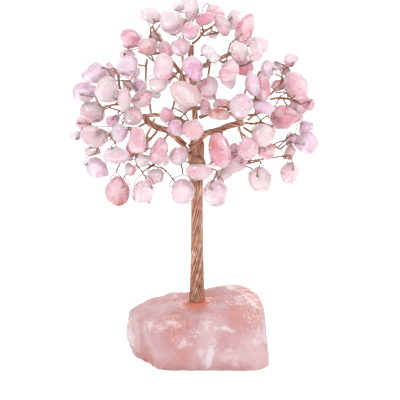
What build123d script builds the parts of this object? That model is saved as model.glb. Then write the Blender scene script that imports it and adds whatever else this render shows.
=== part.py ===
from build123d import *
import math
import os

import numpy as np

os.makedirs("parts", exist_ok=True)

# Driving sizes in millimetres
CROWN_HALF_WIDTH = 52.2
CROWN_HALF_DEPTH = 34.0
CROWN_FOOT = 68.5
CROWN_HEIGHT = 91.2
CROWN_SHIFT = -0.9
STONE_LENGTH = 10.9
STONE_GAP = 0.4
HOLE_RADIUS = 0.5
WIRE_RADIUS = 0.22
WIRE_HALF_PITCH = 0.28
WIRE_GAP = 0.3
LOOP_GAP = 0.75
SWING_GAP = 0.35
NECK = 1.3
STEM_LEAST = 6.0
LOOP_BEND = 0.5
TRUNK_RADIUS = 3.5
TRUNK_WAIST_RADIUS = 2.7
TRUNK_TOP = 101.0
LEADER_RADIUS = 1.45
LIMB_RADIUS = 1.5
UPPER_LIMB_RADIUS = 1.0
TWIG_RADIUS = 0.62
BUNDLE_BEND = 6.0
SEAT_GAP = 0.14
JOINT_GAP = 0.3
BASE_WIDTH = 63.0
BASE_DEPTH = 43.0
BASE_HEIGHT = 33.4
SOCKET_DEPTH = 15.0
SOCKET_FLOOR = 1.2
GLUE_WALL = 0.7
GLUE_BEAD = 0.8
BASE_SPARE = 10.0
SOCKET_TOP = 26.4
SOCKET_FOOT = SOCKET_TOP - SOCKET_DEPTH
SOCKET_RADIUS = TRUNK_RADIUS + GLUE_WALL
TRUNK_WAIST = 66.0
TRUNK_SHOULDER = 96.5

# Shares and angles
VIEW_SLOPE_SHARE = 0.2126  # rise per unit of depth in the picture the places were read from
CROWN_WAIST_SHARE = 0.38
CROWN_DOME_SHARE = 0.68
CROWN_RIM_SHARE = 0.06
HOLE_SHARE = 0.38
LOOP_TOP_SHARES = (0.80, 0.76)
TWIN_DEPTH_SHARE = 0.8
TWIN_SIZE_SHARE = 0.88
TWIN_AREA_SHARE = 0.74
TWIN_FRONT_SHARE = -0.28
BEND_SHARE = 0.42
ROLL_STEP = 137.5
ROLL_LIMIT = 32.0
LEAN_LIMIT = 14.0
SLANT_LIMIT_SHARE = 0.4
SLANT_MOST_SHARE = 0.85
LIMB_DROOP = 8.0
STONE_SWING = 25.0
DEPTH_TRIES = 120
SEAT_TRIES = 6
CROWD_MOST = 20000
BOW_SHARES = (0.14, 0.3, 0.5)
HANG_SHARES = (1.8, 2.8, 4.2, 6.0)
BASE_SPARE_SHARE = 1.5

# Stones by the limb that carries them: across and up in the crown, depth in the crown (front is
# negative), length, width, tilt of the long axis in degrees, kind
STONE_SHARES = {
    "left": [
        (-0.91, 0.556, 0.0, 1.04, 0.83, 10, "oval"),
        (-0.82, 0.644, -0.1, 1.13, 0.83, 28, "oval"),
        (-0.71, 0.654, 0.35, 0.87, 0.65, 75, "oval"),
        (-0.72, 0.561, -0.5, 1.09, 0.96, 75, "oval"),
        (-0.56, 0.585, 0.2, 0.65, 0.48, 80, "oval"),
        (-0.57, 0.507, -0.75, 1.13, 0.57, 85, "oval"),
        (-0.85, 0.459, -0.35, 1.25, 0.85, 175, "blunt"),
        (-0.93, 0.415, 0.3, 0.78, 0.65, 60, "oval"),
        (-0.675, 0.415, -0.2, 0.65, 0.52, 20, "oval"),
        (-0.5, 0.434, -0.7, 0.96, 0.76, 0, "blunt"),
        (-0.46, 0.585, 0.1, 0.74, 0.65, 120, "wedge"),
        (-0.42, 0.517, -0.2, 0.96, 0.74, 40, "oval"),
        (-0.825, 0.341, -0.4, 1.28, 0.91, -10, "blunt"),
        (-0.98, 0.346, 0.1, 0.61, 0.43, 15, "wedge"),
        (-0.86, 0.273, 0.4, 0.74, 0.4, 15, "oval"),
        (-0.64, 0.249, -0.55, 1.22, 0.7, -5, "oval"),
        (-0.61, 0.351, -0.65, 0.83, 0.74, 105, "wedge"),
        (-0.46, 0.317, -0.85, 1.22, 0.78, 80, "blunt"),
        (-0.525, 0.278, -0.35, 1.04, 0.43, 85, "oval"),
        (-0.425, 0.224, -0.5, 0.65, 0.57, 20, "oval"),
        (-0.29, 0.263, -0.6, 1.35, 0.65, 68, "oval"),
        (-0.32, 0.146, -0.45, 0.78, 0.7, 60, "oval"),
        (-0.54, 0.668, -0.4, 0.96, 0.87, 30, "oval"),
        (-0.55, 0.732, 0.1, 0.78, 0.52, 0, "blunt"),
        (-0.53, 0.18, -0.45, 0.65, 0.48, 110, "wedge"),
    ],
    "right": [
        (0.56, 0.337, -0.7, 1.04, 0.96, 20, "oval"),
        (0.59, 0.268, -0.35, 0.87, 0.7, 20, "oval"),
        (0.92, 0.312, -0.15, 1.04, 0.96, 60, "oval"),
        (0.925, 0.385, 0.35, 0.74, 0.65, 30, "oval"),
        (0.82, 0.332, 0.3, 0.65, 0.57, 80, "oval"),
        (0.79, 0.263, 0.1, 0.7, 0.52, 80, "oval"),
        (0.73, 0.429, -0.6, 1.13, 0.96, -10, "oval"),
        (0.425, 0.273, -0.6, 1.04, 0.78, 85, "oval"),
        (0.34, 0.2, -0.4, 0.96, 0.65, 15, "oval"),
        (0.31, 0.263, -0.1, 0.87, 0.52, 75, "oval"),
        (0.2, 0.268, -0.75, 1.57, 0.83, 100, "oval"),
        (0.23, 0.156, 0.1, 0.96, 0.52, 15, "oval"),
        (0.56, 0.468, -0.75, 1.04, 0.52, -3, "blunt"),
    ],
    "front": [
        (-0.01, 0.366, -0.8, 1.0, 0.87, 75, "wedge"),
        (0.03, 0.166, -0.7, 1.3, 0.61, 0, "oval"),
        (-0.13, 0.244, -0.45, 0.87, 0.78, 50, "wedge"),
        (-0.23, 0.439, -0.4, 0.7, 0.61, 100, "oval"),
        (-0.15, 0.376, -0.45, 0.83, 0.65, -35, "oval"),
        (0.08, 0.478, -0.45, 0.78, 0.48, 85, "blunt"),
    ],
    "leader": [
        (-0.07, 0.527, -0.85, 1.35, 0.94, -38, "oval"),
        (-0.01, 0.649, -0.8, 1.13, 0.78, -60, "oval"),
        (0.1, 0.566, -0.5, 0.96, 0.87, 40, "oval"),
        (-0.025, 0.829, -0.75, 0.78, 0.74, 0, "oval"),
        (-0.03, 0.941, -0.3, 1.09, 0.61, 85, "oval"),
        (-0.13, 0.965, 0.1, 0.65, 0.52, 20, "oval"),
        (-0.11, 0.873, -0.2, 0.78, 0.52, -60, "oval"),
        (0.16, 0.937, 0.2, 0.87, 0.74, -20, "oval"),
        (0.08, 0.888, -0.5, 0.91, 0.48, 15, "blunt"),
        (0.225, 0.863, -0.45, 0.96, 0.57, -70, "oval"),
        (0.32, 0.902, 0.2, 0.87, 0.65, 80, "oval"),
        (0.15, 0.834, 0.4, 0.42, 0.37, 20, "oval"),
        (0.12, 0.722, -0.6, 1.09, 0.52, -40, "blunt"),
        (-0.12, 0.756, -0.7, 0.78, 0.74, 100, "oval"),
    ],
    "upper_left": [
        (-0.19, 0.883, -0.3, 1.13, 0.96, 10, "blunt"),
        (-0.36, 0.917, 0.0, 1.0, 0.74, 5, "blunt"),
        (-0.325, 0.82, 0.1, 0.61, 0.52, 60, "oval"),
        (-0.525, 0.81, -0.1, 1.04, 0.83, 35, "oval"),
        (-0.38, 0.761, -0.5, 0.87, 0.74, 10, "blunt"),
        (-0.23, 0.751, -0.4, 0.78, 0.61, -45, "oval"),
        (-0.25, 0.659, -0.85, 1.22, 0.83, 80, "blunt"),
        (-0.29, 0.585, -0.6, 0.83, 0.7, 20, "oval"),
        (-0.31, 0.541, -0.2, 0.48, 0.37, 70, "oval"),
    ],
    "top_right": [
        (0.36, 0.732, -0.65, 0.83, 0.74, 100, "oval"),
        (0.525, 0.771, -0.25, 1.04, 0.65, 22, "blunt"),
        (0.49, 0.712, -0.55, 0.7, 0.48, 0, "blunt"),
        (0.41, 0.849, -0.3, 1.43, 0.7, 68, "oval"),
        (0.4, 0.668, -0.4, 0.87, 0.7, -20, "oval"),
        (0.275, 0.639, -0.8, 1.13, 0.74, 70, "oval"),
    ],
    "upper_right": [
        (0.84, 0.585, -0.3, 1.3, 1.0, 120, "oval"),
        (0.69, 0.59, 0.1, 0.65, 0.48, 10, "oval"),
        (0.79, 0.707, 0.0, 0.7, 0.57, 15, "wedge"),
        (0.67, 0.688, 0.4, 0.65, 0.43, 10, "oval"),
        (0.74, 0.668, 0.5, 0.48, 0.37, 30, "oval"),
        (0.59, 0.659, -0.2, 1.09, 0.61, 80, "wedge"),
        (0.55, 0.571, -0.5, 1.22, 0.61, 95, "oval"),
        (0.46, 0.585, -0.7, 1.17, 0.57, 105, "oval"),
        (0.88, 0.502, 0.0, 0.96, 0.78, 50, "oval"),
        (0.825, 0.454, -0.2, 0.96, 0.83, 100, "oval"),
        (0.95, 0.493, 0.15, 0.52, 0.4, 80, "oval"),
        (0.375, 0.478, -0.85, 1.13, 0.96, 100, "wedge"),
        (0.225, 0.493, -0.4, 1.0, 0.57, -5, "blunt"),
        (0.2, 0.439, -0.65, 0.96, 0.52, -8, "oval"),
    ],
}

# Stones that hang free below the crown, by name, with the limb first
HANGING_SHARES = {
    "wedge_left": ("left", -0.81, 0.19, -0.2, 1.13, 0.87, -35, "wedge"),
    "egg_left": ("left", -0.64, 0.073, -0.45, 1.35, 1.0, 95, "oval"),
    "oval_left": ("left", -0.425, 0.073, -0.5, 1.22, 0.78, 70, "oval"),
    "diamond_front": ("front", -0.1, 0.073, -0.4, 1.17, 1.04, 90, "diamond"),
    "oval_front": ("front", 0.18, 0.068, -0.5, 1.17, 1.04, 60, "oval"),
    "oval_right": ("right", 0.54, 0.132, -0.4, 1.09, 0.96, 100, "oval"),
    "wedge_right": ("right", 0.79, 0.166, -0.2, 1.0, 0.87, 75, "wedge"),
}

# Bundles: across and up in the crown, depth as a share of the crown's half depth
LEADER_SHARES = [
    (0.0, 0.434, 0.0), (-0.01, 0.546, -0.05), (-0.033, 0.717, -0.05), (-0.033, 0.776, -0.05),
]
LIMB_SHARES = {
    "left": [(-0.225, 0.371, -0.1), (-0.375, 0.4, -0.15), (-0.42, 0.44, -0.15)],
    "right": [(0.083, 0.351, -0.16), (0.25, 0.385, -0.2), (0.4, 0.405, -0.22)],
    "upper_left": [(-0.125, 0.649, -0.05), (-0.233, 0.741, -0.05), (-0.292, 0.815, -0.05)],
    "top_right": [(0.167, 0.707, 0.02), (0.308, 0.741, -0.05)],
    "upper_right": [(0.29, 0.493, -0.05), (0.558, 0.517, -0.12)],
    "back_left": [(-0.2, 0.45, 0.3), (-0.4, 0.45, 0.45)],
    "back_right": [(0.22, 0.46, 0.3), (0.42, 0.45, 0.45)],
}
# Where on the leader the upper limbs leave it
LEAVE_SHARES = {
    "upper_left": 0.36, "top_right": 0.7, "upper_right": 0.16, "back_left": 0.05, "back_right": 0.3,
}
# Twigs by limb: the place along the limb where each leaves it, then its points. The front ones leave the
# trunk, and a place above one lies on the leader
TWIG_SHARES = {
    "left": [
        (1.0, [(-0.5, 0.47, -0.2), (-0.65, 0.493, -0.25), (-0.77, 0.48, -0.2)]),
        (0.93, [(-0.55, 0.53, -0.1), (-0.62, 0.58, -0.12), (-0.64, 0.66, -0.1)]),
        (0.86, [(-0.52, 0.366, -0.32), (-0.68, 0.361, -0.28), (-0.78, 0.31, -0.2)]),
        (0.6, [(-0.41, 0.3, -0.22), (-0.49, 0.25, -0.25), (-0.58, 0.245, -0.28)]),
        (0.4, [(-0.27, 0.31, -0.22), (-0.34, 0.2, -0.25)]),
    ],
    "right": [
        (1.0, [(0.53, 0.4, -0.3), (0.64, 0.385, -0.3)]),
        (0.92, [(0.5, 0.34, -0.18), (0.7, 0.28, -0.12)]),
        (0.84, [(0.43, 0.33, -0.3), (0.45, 0.21, -0.24)]),
        (0.6, [(0.26, 0.3, -0.3), (0.29, 0.19, -0.2)]),
        (0.96, [(0.5, 0.44, -0.36)]),
    ],
    "front": [
        (0.78, [(-0.1, 0.25, -0.22), (-0.12, 0.2, -0.22)]),
        (0.7, [(0.07, 0.23, -0.25), (0.12, 0.17, -0.28)]),
        (1.06, [(-0.07, 0.39, -0.25), (-0.14, 0.43, -0.28)]),
    ],
    "leader": [
        (1.0, [(0.058, 0.824, -0.08), (0.14, 0.863, 0.0)]),
        (0.98, [(-0.067, 0.834, -0.14), (-0.07, 0.9, -0.06)]),
        (0.7, [(0.075, 0.688, -0.2), (0.1, 0.665, -0.32)]),
        (0.4, [(-0.03, 0.6, -0.25), (0.0, 0.585, -0.4)]),
    ],
    "upper_left": [
        (1.0, [(-0.345, 0.865, 0.0)]),
        (0.72, [(-0.358, 0.727, -0.12), (-0.46, 0.745, -0.1)]),
        (0.35, [(-0.17, 0.62, -0.22)]),
    ],
    "top_right": [
        (1.0, [(0.39, 0.8, -0.05)]),
        (0.95, [(0.46, 0.727, -0.15)]),
        (0.6, [(0.26, 0.678, -0.25), (0.3, 0.66, -0.35)]),
    ],
    "upper_right": [
        (1.0, [(0.7, 0.58, -0.1), (0.78, 0.66, 0.0)]),
        (0.95, [(0.767, 0.525, -0.1), (0.84, 0.51, -0.05)]),
        (0.88, [(0.5, 0.595, -0.25), (0.53, 0.65, -0.2)]),
        (0.5, [(0.275, 0.463, -0.35)]),
    ],
    "back_left": [
        (1.0, [(-0.62, 0.47, 0.42)]),
        (0.92, [(-0.42, 0.62, 0.42), (-0.4, 0.72, 0.35)]),
        (0.55, [(-0.12, 0.6, 0.5), (-0.1, 0.75, 0.4)]),
        (0.84, [(-0.45, 0.27, 0.45), (-0.5, 0.2, 0.42)]),
    ],
    "back_right": [
        (1.0, [(0.65, 0.47, 0.42)]),
        (0.92, [(0.45, 0.62, 0.42), (0.45, 0.72, 0.35)]),
        (0.55, [(0.12, 0.6, 0.5), (0.12, 0.72, 0.45)]),
        (0.84, [(0.42, 0.27, 0.45), (0.38, 0.2, 0.42)]),
    ],
}
FORK_UP_SHARE = 0.3
FORK_LEFT_SHARE = -0.06
MOVING = ("left", "right")

# Flats that turn an egg into a chip: direction (along, across, through) and depth of the cut as a
# share of the egg's reach that way
CHIP_SHARES = {
    "oval": [((0.5, 0.75, 0.43), 0.93)],
    "blunt": [((1.0, 0.12, 0.0), 0.84), ((-1.0, 0.1, 0.1), 0.88)],
    "wedge": [((-1.0, 0.0, 0.1), 0.9)],
    "diamond": [],
}
# Balls at the tail and the head of a chip, as shares of the largest that its egg has room for
END_SHARES = {"oval": (0.98, 0.9), "blunt": (0.98, 0.98), "wedge": (0.98, 0.4), "diamond": (0.5, 0.45)}
FLAT_SHARES = (0.76, 0.84)

# Flats of the base: a place on each, as shares of half the width, half the depth and the height, and
# the way it faces
BASE_SHARES = [
    ((0.0, 0.0, 0.0), (0.0, 0.0, -1.0)),
    ((0.0, 0.0, 0.79), (-0.16, -0.1, 1.0)),
    ((0.42, 0.25, 0.91), (0.1, -0.08, 1.0)),
    ((0.7, 0.0, 0.9), (0.75, -0.1, 1.0)),
    ((0.97, -0.1, 0.62), (1.0, -0.12, 0.3)),
    ((1.0, 0.0, 0.25), (1.0, 0.05, 0.03)),
    ((0.92, -0.75, 0.3), (0.9, -0.75, 0.1)),
    ((-0.75, -0.2, 0.72), (-0.42, -0.1, 1.0)),
    ((-0.96, 0.0, 0.6), (-1.0, -0.1, 0.42)),
    ((-1.0, 0.1, 0.36), (-1.0, 0.1, -0.08)),
    ((-0.76, -0.2, 0.0), (-0.88, -0.47, -0.75)),
    ((-0.8, -0.72, 0.4), (-0.8, -1.0, 0.1)),
    ((0.1, -1.0, 0.25), (0.05, -1.0, 0.08)),
    ((0.0, -0.92, 0.56), (-0.06, -1.0, 0.55)),
    ((0.5, -0.85, 0.6), (0.35, -1.0, 0.6)),
    ((0.0, 1.0, 0.3), (0.0, 1.0, 0.1)),
    ((-0.7, 0.75, 0.4), (-0.8, 1.0, 0.25)),
    ((0.75, 0.8, 0.4), (0.8, 1.0, 0.2)),
    ((0.1, 0.8, 0.85), (-0.05, 1.0, 0.8)),
    ((0.0, -0.97, 0.04), (0.0, -0.9, -1.0)),
]


def unit(v):
    return np.asarray(v, float) / np.linalg.norm(v)


def crown_place(across, up, depth):
    """A place in the crown; a nearer one stands higher than it looks from a little above."""
    return np.array([
        CROWN_SHIFT + across * CROWN_HALF_WIDTH,
        depth,
        CROWN_FOOT + up * CROWN_HEIGHT - depth * VIEW_SLOPE_SHARE,
    ])


def crown_depth(across, up):
    """Half the depth of the domed crown behind one place of its outline."""
    rise = max(0.0, up - CROWN_WAIST_SHARE) / CROWN_DOME_SHARE
    return CROWN_HALF_DEPTH * math.sqrt(max(CROWN_RIM_SHARE, 1 - across ** 2 - rise ** 2))


def turn(points, centre, axis, degrees):
    """Points, or directions if the centre is zero, turned about an axis."""
    angle = math.radians(degrees)
    rel = np.asarray(points, float) - centre
    along = np.outer(rel @ axis, axis).reshape(rel.shape)
    return centre + along + (rel - along) * math.cos(angle) + np.cross(axis, rel) * math.sin(angle)


def along_path(points, share):
    """The point at a share of a path's length, and the direction of the path there."""
    points = np.asarray(points, float)
    steps = np.linalg.norm(np.diff(points, axis=0), axis=1)
    want = share * steps.sum()
    for start, end, step in zip(points, points[1:], steps):
        if want <= step * (1 + 1e-9):
            return start + (end - start) * want / step, (end - start) / step
        want -= step
    return points[-1], unit(points[-1] - points[-2])


def dotted(points, spacing):
    """Points spread along a path."""
    points = np.asarray(points, float)
    rows = [points[:1]]
    for start, end in zip(points, points[1:]):
        count = max(1, math.ceil(np.linalg.norm(end - start) / spacing))
        rows.append(start + np.outer(np.arange(1, count + 1) / count, end - start))
    return np.vstack(rows)


def seat_reach(way, parent_way, parent_radius, radius, at_end=False):
    """How far out along its own way a tube starts so that its end face just clears its parent."""
    cosine = abs(float(way @ parent_way))
    sine = max(math.sqrt(1 - min(1.0, cosine) ** 2), SLANT_LIMIT_SHARE)
    if at_end:
        return (SEAT_GAP + radius * sine) / max(cosine, SLANT_LIMIT_SHARE)
    return (parent_radius + radius * cosine + SEAT_GAP) / sine


def seated(path, share, points, parent_radius, radius):
    """A path that starts beside its parent, or at its end, just clear of it."""
    parent, parent_way = along_path(path, share)
    way = unit(points[0] - parent)
    reach = seat_reach(way, parent_way, parent_radius, radius, share == 1.0)
    return np.vstack([parent + way * reach, points])


# The bundles of the tree
fork = crown_place(0, FORK_UP_SHARE, 0)
leader_path = [np.array([0.0, 0.0, TRUNK_TOP]), np.array([0.0, 0.0, TRUNK_TOP + LEADER_RADIUS])]
leader_path += [crown_place(a, u, d * CROWN_HALF_DEPTH) for a, u, d in LEADER_SHARES]
leader_path = np.array(leader_path)
beside = TRUNK_RADIUS + LIMB_RADIUS + JOINT_GAP
limb_pivot = {
    "left": np.array([-beside, 0.0, fork[2]]),
    "right": np.array([FORK_LEFT_SHARE * CROWN_HALF_WIDTH, -beside, fork[2]]),
}
trunk_path = np.array([[0, 0, CROWN_FOOT], leader_path[0]])
limb_axis = {"left": np.array([0.0, -1.0, 0.0]), "right": np.array([0.0, 1.0, 0.0])}
limb_radius = {limb: LIMB_RADIUS if limb in MOVING else UPPER_LIMB_RADIUS for limb in LIMB_SHARES}
limb_path = {}
for limb, rows in LIMB_SHARES.items():
    points = np.array([crown_place(a, u, d * CROWN_HALF_DEPTH) for a, u, d in rows])
    if limb in MOVING:
        limb_path[limb] = np.vstack([limb_pivot[limb], points])
    else:
        limb_path[limb] = seated(leader_path, LEAVE_SHARES[limb], points, LEADER_RADIUS, limb_radius[limb])
twig_path = {}
for limb, rows in TWIG_SHARES.items():
    twig_path[limb] = []
    for share, places in rows:
        points = np.array([crown_place(a, u, d * CROWN_HALF_DEPTH) for a, u, d in places])
        path, radius = limb_path.get(limb), limb_radius.get(limb)
        if limb == "leader":
            path, radius = leader_path, LEADER_RADIUS
        if limb == "front" and share < 1:
            path, radius = trunk_path, TRUNK_RADIUS
        elif limb == "front":
            path, radius, share = leader_path, LEADER_RADIUS, share - 1
        twig_path[limb].append(seated(path, share, points, radius, TWIG_RADIUS))


# The stones: places by hand, each moved in depth by the least step that clears the ones before it
class Stone:
    def __init__(self, number, limb, row, hanging=None):
        across, up, depth, length, width, tilt, self.kind = row
        self.number, self.limb, self.hanging = number, limb, hanging
        self.centre = crown_place(across, up, depth * crown_depth(across, up))
        self.push = 1.0 if depth < 0 else -1.0
        lean = math.radians(LEAN_LIMIT * math.sin(number * ROLL_STEP))
        angle = math.radians(tilt)
        flat = np.array([math.cos(angle), 0.0, math.sin(angle)])
        through = np.array([0.0, 1.0, 0.0])
        along = flat * math.cos(lean) + through * math.sin(lean)
        across_axis = np.cross(through, flat)
        through = np.cross(along, across_axis)
        self.seen = np.array([along, across_axis, through])
        roll = math.radians(ROLL_LIMIT * math.cos(number * ROLL_STEP))
        self.axes = np.array([
            along,
            across_axis * math.cos(roll) + through * math.sin(roll),
            through * math.cos(roll) - across_axis * math.sin(roll),
        ])
        self.radii = np.array([length, width, width]) * STONE_LENGTH / 2
        self.flats = [(self.axes[2], FLAT_SHARES[0]), (-self.axes[2], FLAT_SHARES[1])]
        self.flats += [(unit(np.array(way) @ self.seen), share) for way, share in CHIP_SHARES[self.kind]]

    def reach(self, way):
        """How far the whole egg goes along a direction."""
        return float(np.linalg.norm(self.radii * (self.axes @ way)))

    def exit(self, point, way):
        """How far it is from a point inside, along a direction, to the egg's surface."""
        p = (self.axes @ (point - self.centre)) / self.radii
        w = (self.axes @ way) / self.radii
        half, square = p @ w, w @ w
        return float((-half + math.sqrt(half ** 2 - square * (p @ p - 1))) / square)


def poses_of(limb, centre, axes, pivot=None):
    """Places of a piece while its limb droops and, if it hangs, while it swings."""
    rows = []
    for index, degrees in enumerate((0, LIMB_DROOP / 2, LIMB_DROOP) if limb in MOVING else (0,)):
        c, a = centre, axes
        if degrees:
            c = turn(c, limb_pivot[limb], limb_axis[limb], degrees)
            a = turn(a, 0, limb_axis[limb], degrees)
        rows.append((index, c, a))
        if pivot is not None:
            p = turn(pivot, limb_pivot[limb], limb_axis[limb], degrees) if degrees else pivot
            for axis in (np.array([1.0, 0, 0]), np.array([0, 1.0, 0])):
                for swing in (-STONE_SWING, STONE_SWING):
                    rows.append((index, turn(c, p, axis, swing), turn(a, 0, axis, swing)))
    return rows


class Crowd:
    """Everything placed so far, as eggs: the bundles and the wires as rows of small balls."""

    def __init__(self, size):
        self.count = 0
        self.limb = np.zeros(size, int)
        self.droop = np.zeros(size, int)
        self.owner = np.zeros(size, int)
        self.centre = np.zeros((size, 3))
        self.axes = np.zeros((size, 3, 3))
        self.radii = np.zeros((size, 3))
        self.flat = np.zeros(size)

    def add(self, limb, poses, radii, flat, owner=-1):
        for index, centre, axes in poses:
            k = self.count
            self.limb[k], self.droop[k], self.owner[k] = LIMBS.index(limb), index, owner
            self.centre[k], self.axes[k], self.radii[k], self.flat[k] = centre, axes, radii, flat
            self.count += 1

    def near(self, limb, index, centre, reach):
        """Rows that can meet a piece of this limb inside a ball."""
        n = self.count
        use = np.linalg.norm(self.centre[:n] - centre, axis=1) < self.radii[:n].max(1) + reach
        same = self.limb[:n] == LIMBS.index(limb)
        return np.nonzero(use & (~same | ((self.droop[:n] == 0) & (index == 0))))[0]

    def clear(self, limb, poses, radii, flat, gap):
        """Whether an egg stays clear: some direction must part it from each of the others."""
        for index, centre, axes in poses:
            use = self.near(limb, index, centre, radii.max() + gap)
            if not len(use):
                continue
            apart = self.centre[use] - centre
            others = self.axes[use]
            ways = np.concatenate([
                (apart / np.linalg.norm(apart, axis=1, keepdims=True))[:, None, :],
                np.broadcast_to(axes, others.shape), others], axis=1)
            own = np.linalg.norm((ways @ axes.T) * radii, axis=2)
            own[:, 3] = flat
            other = (ways @ others.transpose(0, 2, 1)) * self.radii[use][:, None, :]
            other = np.linalg.norm(other, axis=2)
            other[:, 6] = self.flat[use]
            room = np.abs((ways * apart[:, None, :]).sum(2)) - own - other
            if (room.max(1) < gap).any():
                return False
        return True

    def scope(self, limb, centre, reach, owner):
        """Rows round a stone that its wire could meet, for each droop of its limb."""
        sets = []
        for index, degrees in enumerate((0, LIMB_DROOP / 2, LIMB_DROOP) if limb in MOVING else (0,)):
            at = turn(centre, limb_pivot[limb], limb_axis[limb], degrees) if degrees else centre
            use = self.near(limb, index, at, reach)
            use = use[self.owner[use] != owner]
            scale = self.axes[use] / self.radii[use][:, :, None]
            sets.append((degrees, self.owner[use], self.centre[use], scale, self.radii[use].min(1)))
        return sets

    @staticmethod
    def room(limb, points, radius, scope, seat, seat_reach, enough):
        """The least room round a wire, leaving out the bundle that it starts on."""
        least = np.inf
        for degrees, owner, centre, scale, thin in scope:
            moved = turn(points, limb_pivot[limb], limb_axis[limb], degrees) if degrees else points
            middle = (moved.min(0) + moved.max(0)) / 2
            reach = np.linalg.norm(moved - middle, axis=1).max() + radius + enough
            use = np.linalg.norm(centre - middle, axis=1) < reach + STONE_LENGTH
            if not degrees:
                use &= (owner >= 0) | (np.linalg.norm(centre - seat, axis=1) > seat_reach)
            if not use.any():
                continue
            rel = moved[:, None, :] - centre[use]
            local = np.matmul(scale[use], rel[:, :, :, None])[:, :, :, 0]
            room = (np.sqrt((local ** 2).sum(2)) - 1) * thin[use]
            least = min(least, room.min() - radius)
            if least < 0:
                break
        return least


LIMBS = ["root", "front", "leader"] + list(LIMB_SHARES)
BALL = np.eye(3)
DOT_SPACING = TWIG_RADIUS * 2
crowd = Crowd(CROWD_MOST)
for limb, path, radius in (
    [("root", leader_path, LEADER_RADIUS), ("root", trunk_path, TRUNK_RADIUS)]
    + [(limb, path, limb_radius[limb]) for limb, path in limb_path.items()]
    + [(limb, path, TWIG_RADIUS) for limb, paths in twig_path.items() for path in paths]
):
    for dot in dotted(path, DOT_SPACING):
        crowd.add(limb, poses_of(limb, dot, BALL), np.full(3, radius), radius)

rows = [(row[0], row[1:], name) for name, row in HANGING_SHARES.items()]
rows += [(limb, row, None) for limb, table in STONE_SHARES.items() for row in table]
twins = []
for limb, row, name in rows:
    across, up, depth, length, width, tilt, kind = row
    if depth <= TWIN_FRONT_SHARE and length * width > TWIN_AREA_SHARE:
        side = "back_left" if across < 0 else "back_right"
        length, width = length * TWIN_SIZE_SHARE, width * TWIN_SIZE_SHARE
        twins.append((side, (across, up, TWIN_DEPTH_SHARE, length, width, 180 - tilt, kind), None))
UP = np.array([0, 0, 1.0])
stones = []
for number, (limb, row, name) in enumerate(rows + twins):
    stone = Stone(number, limb, row, name)
    flat = stone.radii[2] * FLAT_SHARES[1]
    start = stone.centre
    pivot_up = UP * stone.reach(UP) * HOLE_SHARE
    for k in range(DEPTH_TRIES):
        shift = STONE_GAP * 2 * ((k + 1) // 2) * (stone.push if k % 2 else -stone.push)
        stone.centre = start + np.array([0, shift, -shift * VIEW_SLOPE_SHARE])
        poses = poses_of(limb, stone.centre, stone.axes, stone.centre + pivot_up if name else None)
        if crowd.clear(limb, poses, stone.radii, flat, STONE_GAP):
            break
    crowd.add(limb, poses, stone.radii, flat, number)
    stones.append(stone)


# The wires: from a free place on a twig, in one bend, to a loop through the stone's hole
def bend_radii(points, limits):
    """Radii for the corners of a path, small enough for the straight runs beside them."""
    radii = []
    for before, at, after, limit in zip(points, points[1:], points[2:], limits):
        one, two = at - before, after - at
        half = math.acos(np.clip(unit(one) @ unit(two), -1, 1)) / 2
        run = BEND_SHARE * min(np.linalg.norm(one), np.linalg.norm(two))
        radii.append(min(limit, run / math.tan(half)) if half > 0.002 else 0.0)
    return radii


def rounded(points, radii, count=5):
    """Points along a path whose corners are arcs."""
    rows = [points[0]]
    for before, at, after, radius in zip(points, points[1:], points[2:], radii):
        one, two = unit(at - before), unit(after - at)
        half = math.acos(np.clip(one @ two, -1, 1)) / 2
        if radius <= 0 or half < 0.002:
            rows.append(at)
            continue
        start = at - one * radius * math.tan(half)
        side = unit(two - one * (one @ two))
        for k in range(count + 1):
            angle = 2 * half * k / count
            rows.append(start + one * radius * math.sin(angle) + side * radius * (1 - math.cos(angle)))
    rows.append(points[-1])
    return np.array(rows)


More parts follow.
